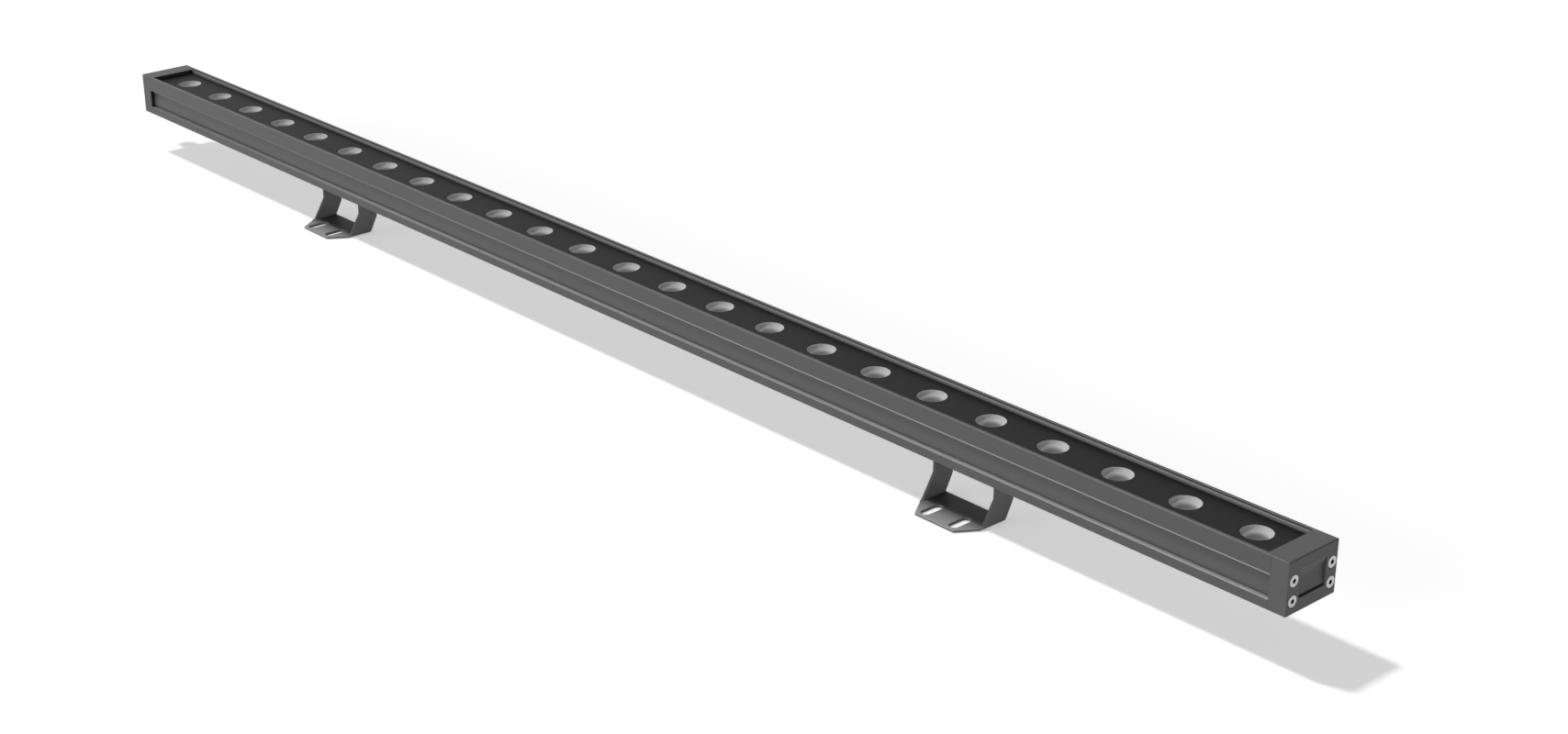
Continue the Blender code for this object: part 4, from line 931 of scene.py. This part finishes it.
def make_clamps():
    """Each clamp's two screws, and its hinge's bolt and nut."""
    nut = [
        (NUT_BORE, EAR_FACE, "round"), (NUT_CROWN_RADIUS, EAR_FACE, "round"),
        (NUT_RADIUS, EAR_FACE + NUT_CROWN, "hex"), (NUT_RADIUS, EAR_FACE + NUT_THICKNESS - NUT_CROWN, "hex"),
        (NUT_CROWN_RADIUS, EAR_FACE + NUT_THICKNESS, "round"), (NUT_BORE, EAR_FACE + NUT_THICKNESS, "round"),
    ]
    for side in ("left", "right"):
        hinge = hinge_place(side)
        matrix = Matrix.Translation((hinge.x, hinge.y, BAR.z))
        body = "slider_" + side
        for number, x in enumerate((-CLAMP_X, CLAMP_X)):
            bm = bmesh.new()
            add_screw(bm, axis_matrix((x, 0, CLAMP_HEAD_TOP), (0, 0, -1)), **CLAMP_SCREW)
            name = f"clamp_screw_{side}_{number + 1}"
            piece("soft_" + name, bm, ["steel"], matrix, body, name, TURNED_ANGLE)
        bm = bmesh.new()
        add_screw(bm, axis_matrix((HINGE_HEAD_FACE, 0, -HINGE_DROP), (1, 0, 0)), **HINGE_BOLT)
        piece("hinge_bolt_" + side, bm, ["steel"], matrix, body, "pivot_bolt_" + side, TURNED_ANGLE)
        bm = bmesh.new()
        add_turned(bm, nut, STEPS, axis_matrix((0, 0, -HINGE_DROP), (-1, 0, 0)), closed=True)
        piece("hinge_nut_" + side, bm, ["steel"], matrix, body, "pivot_nut_" + side, TURNED_ANGLE)


def sheet_section(half, low, high, sheet, outer):
    """A bent sheet's U section as (z, x), with round corners outside and sharp ones inside."""
    right = [(low, 0)]
    right += [(low + outer + a, half - outer + b) for a, b in arc(0, 0, outer, 180, 90, ROUNDING_STEPS)]
    right += [(high, half), (high, half - sheet), (low + sheet, half - sheet), (low + sheet, 0)]
    return right + [(a, -b) for a, b in reversed(right) if b]


def foot_side_outline(floor):
    """The foot seen along the hinge: a flat base, slanted edges and a round ear."""
    lean = (FOOT_FRONT - FOOT_EAR) / FOOT_FRONT_RISE
    outline = [
        (-FOOT_TOE - OVERRUN, floor - OVERRUN), (FOOT_HEEL, floor - OVERRUN), (FOOT_HEEL, floor),
        (FOOT_EAR, floor + FOOT_REAR_RISE),
    ]
    outline += arc(0, 0, FOOT_EAR, 0, 180, FOOT_EAR_STEPS)
    return outline + [
        (-FOOT_EAR, floor + FOOT_FRONT_RISE), (-FOOT_FRONT + lean * FOOT_LIFT, floor + FOOT_LIFT),
        (-FOOT_TOE - OVERRUN, floor + FOOT_LIFT),
    ]


def foot_plan_levels(floor):
    """The foot seen from above, drawn in a little at both faces of its base, which leaves slanted edges there that
    carry a painted highlight.
    """
    wide = FOOT_HALF + OVERRUN
    right = arc(FOOT_TOE_HALF - FOOT_TOE_CORNER, -FOOT_TOE + FOOT_TOE_CORNER, FOOT_TOE_CORNER, -90, -30, 2)
    right += [(FOOT_HALF, -FOOT_SHOULDER), (wide, -FOOT_SHOULDER_END), (wide, FOOT_EAR + OVERRUN)]
    full = mirrored(right)
    drawn_in = [(x * FOOT_CHAMFER_WIDTH, y + FOOT_CHAMFER) for x, y in full]
    top = floor + FOOT_SHEET
    return [
        (floor - OVERRUN, [drawn_in]), (floor, [drawn_in]), (floor + FOOT_CHAMFER, [full]), (top - FOOT_CHAMFER, [full]),
        (top, [drawn_in]), (top + FOOT_TOP_STEP, [full]), (FOOT_EAR + 2 * OVERRUN, [full]),
    ]


def make_foot(side):
    """A foot bent from sheet, with a tight bend, slanted edges with a painted highlight, a base top with painted
    light and painted shadow, and round slots.
    """
    hinge = hinge_place(side)
    matrix = Matrix.Translation(hinge)
    floor = -hinge.z
    wide = FOOT_HALF + OVERRUN
    loop = sheet_section(FOOT_HALF, floor, FOOT_EAR + OVERRUN, FOOT_SHEET, FOOT_BEND)
    bm = bmesh.new()
    add_stack(bm, "Y", [(-FOOT_TOE - OVERRUN, [loop]), (FOOT_EAR + OVERRUN, [loop])])
    made = piece("bent_foot_" + side, bm, ["foot"], matrix, "foot_" + side, "foot_" + side)
    bm = bmesh.new()
    loop = foot_side_outline(floor)
    add_stack(bm, "X", [(-wide, [loop]), (wide, [loop])])
    carve(made, shape("side", bm, matrix), "INTERSECT")
    bm = bmesh.new()
    add_stack(bm, "Z", foot_plan_levels(floor))
    carve(made, shape("plan", bm, matrix), "INTERSECT")
    bm = bmesh.new()
    low = -FOOT_TOE + FOOT_SLOT_INSET + FOOT_SLOT_RADIUS
    high = -FOOT_TOE + FOOT_SLOT_INSET + FOOT_SLOT_LENGTH - FOOT_SLOT_RADIUS
    for x in (-FOOT_SLOT_X, FOOT_SLOT_X):
        loop = arc(x, high, FOOT_SLOT_RADIUS, 0, 180, FOOT_SLOT_STEPS)
        loop += arc(x, low, FOOT_SLOT_RADIUS, 180, 360, FOOT_SLOT_STEPS)
        add_stack(bm, "Z", [(floor - OVERRUN, [loop]), (floor + 2 * OVERRUN, [loop])])
    carve(made, shape("slots", bm, matrix))
    bm = bmesh.new()
    add_cylinder(bm, (-wide, 0, 0), (wide, 0, 0), FOOT_HOLE_RADIUS)
    carve(made, shape("hole", bm, matrix))

    def foot_look(place, normal):
        # Painted light and painted shadow on the base's top.
        if normal.z > LEVEL and abs(place.z - floor - FOOT_SHEET) < FOOT_TOP_STEP:
            return "foot_top_painted_light_and_shadow"
        # Painted shade on the ears' front edges.
        if normal.y < -FACING and place.z > floor + FOOT_SHEET:
            return "foot_side"
        # Painted highlight on the base's slanted front edges.
        if normal.y < -FACING and abs(normal.z) > FACING:
            return "foot_edge_highlight"
        return "foot"

    paint(made, FOOT_LOOKS, foot_look)


def make_gland():
    """The cable gland on the left cap: a hex body and a ribbed domed nut."""
    matrix = LEFT_MATRIX @ axis_matrix((FACE + GAP, 0, GLAND_HEIGHT), (1, 0, 0))
    identity = Matrix.Identity(4)
    body = [
        (GLAND_INNER, GLAND_SHANK_END, "round"), (GLAND_SHANK, GLAND_SHANK_END, "round"), (GLAND_SHANK, 0, "round"),
        (GLAND_HEX_FOOT, 0, "round"), (GLAND_HEX, 0.0001, "hex"),
        (GLAND_HEX, GLAND_HEX_END - GLAND_HEX_CROWN, "hex"), (GLAND_HEX_TOP, GLAND_HEX_END, "round"),
        (GLAND_THREAD, GLAND_HEX_END, "round"), (GLAND_THREAD, GLAND_THREAD_END, "round"),
        (GLAND_INNER, GLAND_THREAD_END, "round"),
    ]
    bm = bmesh.new()
    add_turned(bm, body, GLAND_STEPS, matrix, closed=True)
    piece("gland_base", bm, ["gland"], identity, "fixture", "gland_body", TURNED_ANGLE)
    start, end = GLAND_NUT_START, GLAND_NUT_END
    nut = [
        (GLAND_NUT_INNER, start, "round"), (GLAND_NUT_EDGE, start, "round"),
        (GLAND_NUT_RADIUS, start + 0.0004, GLAND_RIBS), (GLAND_NUT_RADIUS, end - 0.0034, GLAND_RIBS),
        (GLAND_NUT_EDGE, end - 0.0028, "round"), (0.0056, end - 0.0014, "round"), (0.0048, end - 0.0003, "round"),
        (0.0042, end, "round"), (0.0036, end, "round"), (GLAND_INNER, end - 0.0003, "round"),
        (GLAND_INNER, end - GLAND_LIP_DEPTH, "round"), (GLAND_NUT_INNER, end - GLAND_LIP_DEPTH, "round"),
    ]
    bm = bmesh.new()
    add_turned(bm, nut, GLAND_STEPS, matrix, closed=True)
    piece("gland_cap", bm, ["gland"], identity, "fixture", "gland_nut", TURNED_ANGLE)


def dress_nodes():
    """Materials and softened edges for the CAD pieces that keep their shape."""
    for name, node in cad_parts.items():
        for start, look, width in KEPT_PIECES:
            if name.startswith(start):
                node.data.materials.clear()
                node.data.materials.append(LOOKS[look])
                if width:
                    soften(node, width)


def seen_directly(nodes, links):
    """1 where the camera, a reflection or a see-through surface shows a thing, and 0 for the light it gives."""
    path = nodes.new("ShaderNodeLightPath")
    value = path.outputs["Is Camera Ray"]
    for name in ("Is Glossy Ray", "Is Transmission Ray"):
        largest = nodes.new("ShaderNodeMath")
        largest.operation = "MAXIMUM"
        links.new(value, largest.inputs[0])
        links.new(path.outputs[name], largest.inputs[1])
        value = largest.outputs[0]
    return value


def make_floor():
    """A pale floor that keeps the fixture's shadow and shows as white."""
    bm = bmesh.new()
    bmesh.ops.create_grid(bm, x_segments=1, y_segments=1, size=FLOOR_SIZE)
    mesh = bpy.data.meshes.new("floor")
    bm.to_mesh(mesh)
    bm.free()
    look = bpy.data.materials.new("pale_floor")
    look.use_nodes = True
    nodes, links, shader = nodes_of(look)
    shader.inputs["Base Color"].default_value = FLOOR_COLOUR
    shader.inputs["Roughness"].default_value = 1
    shader.inputs["Specular IOR Level"].default_value = 0
    lift = nodes.new("ShaderNodeMath")
    lift.operation = "MULTIPLY"
    lift.inputs[1].default_value = FLOOR_LIFT
    links.new(seen_directly(nodes, links), lift.inputs[0])
    shader.inputs["Emission Color"].default_value = (1, 1, 1, 1)
    links.new(lift.outputs[0], shader.inputs["Emission Strength"])
    mesh.materials.append(look)
    add_object("floor", mesh, Matrix.Identity(4))


def add_sun(name, energy, angle, towards):
    """A sun lamp that stands in a direction and has a spread in degrees."""
    lamp = bpy.data.lights.new(name, "SUN")
    lamp.energy = energy
    lamp.angle = math.radians(angle)
    sun = add_object(name, lamp, Matrix.Identity(4))
    sun.rotation_euler = Vector(towards).to_track_quat("Z", "Y").to_euler()


def make_light():
    """A key light from the upper left, a broad fill from the front, and a sky that is brighter near the horizon."""
    add_sun("key", KEY_STRENGTH, KEY_SPREAD, KEY_FROM)
    add_sun("fill", FILL_STRENGTH, FILL_SPREAD, FILL_FROM)
    world = bpy.data.worlds.new("studio")
    bpy.context.scene.world = world
    world.use_nodes = True
    nodes, links = world.node_tree.nodes, world.node_tree.links
    background = nodes["Background"]
    place = nodes.new("ShaderNodeTexCoord")
    split = nodes.new("ShaderNodeSeparateXYZ")
    links.new(place.outputs["Generated"], split.inputs[0])
    height = nodes.new("ShaderNodeMapRange")
    height.inputs["From Min"].default_value = 0
    height.inputs["From Max"].default_value = SKY_RISE
    height.inputs["To Min"].default_value = SKY_LOW
    height.inputs["To Max"].default_value = SKY_HIGH
    links.new(split.outputs["Z"], height.inputs["Value"])
    along = nodes.new("ShaderNodeMapRange")
    along.inputs["From Min"].default_value = -1
    along.inputs["To Min"].default_value = SKY_LEFT
    along.inputs["To Max"].default_value = SKY_RIGHT
    links.new(split.outputs["X"], along.inputs["Value"])
    given = nodes.new("ShaderNodeMath")
    given.operation = "MULTIPLY"
    links.new(height.outputs["Result"], given.inputs[0])
    links.new(along.outputs["Result"], given.inputs[1])
    strength = nodes.new("ShaderNodeMix")
    links.new(seen_directly(nodes, links), strength.inputs["Factor"])
    links.new(given.outputs[0], strength.inputs["A"])
    strength.inputs["B"].default_value = 1
    background.inputs["Color"].default_value = (1, 1, 1, 1)
    links.new(strength.outputs["Result"], background.inputs["Strength"])


def make_camera():
    """The camera of the photograph."""
    data = bpy.data.cameras.new("camera")
    data.lens = CAMERA_LENS
    data.sensor_width = CAMERA_SENSOR
    data.sensor_fit = "HORIZONTAL"
    data.clip_start = CAMERA_NEAR
    data.clip_end = CAMERA_FAR
    right = CAMERA_RIGHT.normalized()
    forward = CAMERA_FORWARD.normalized()
    up = right.cross(forward).normalized()
    right = forward.cross(up).normalized()
    turn = Matrix((right, up, -forward)).transposed().to_4x4()
    bpy.context.scene.camera = add_object("camera", data, Matrix.Translation(BAR + CAMERA_PLACE) @ turn)


make_camera()
make_bar()
make_mask()
make_cups()
make_cap("end_cap_right", BAR_MATRIX, True)
make_cap("end_cap_left", LEFT_MATRIX, False)
make_screws()
make_clamps()
make_foot("left")
make_foot("right")
make_gland()
dress_nodes()
make_floor()
make_light()
bpy.context.scene.view_settings.view_transform = "Standard"
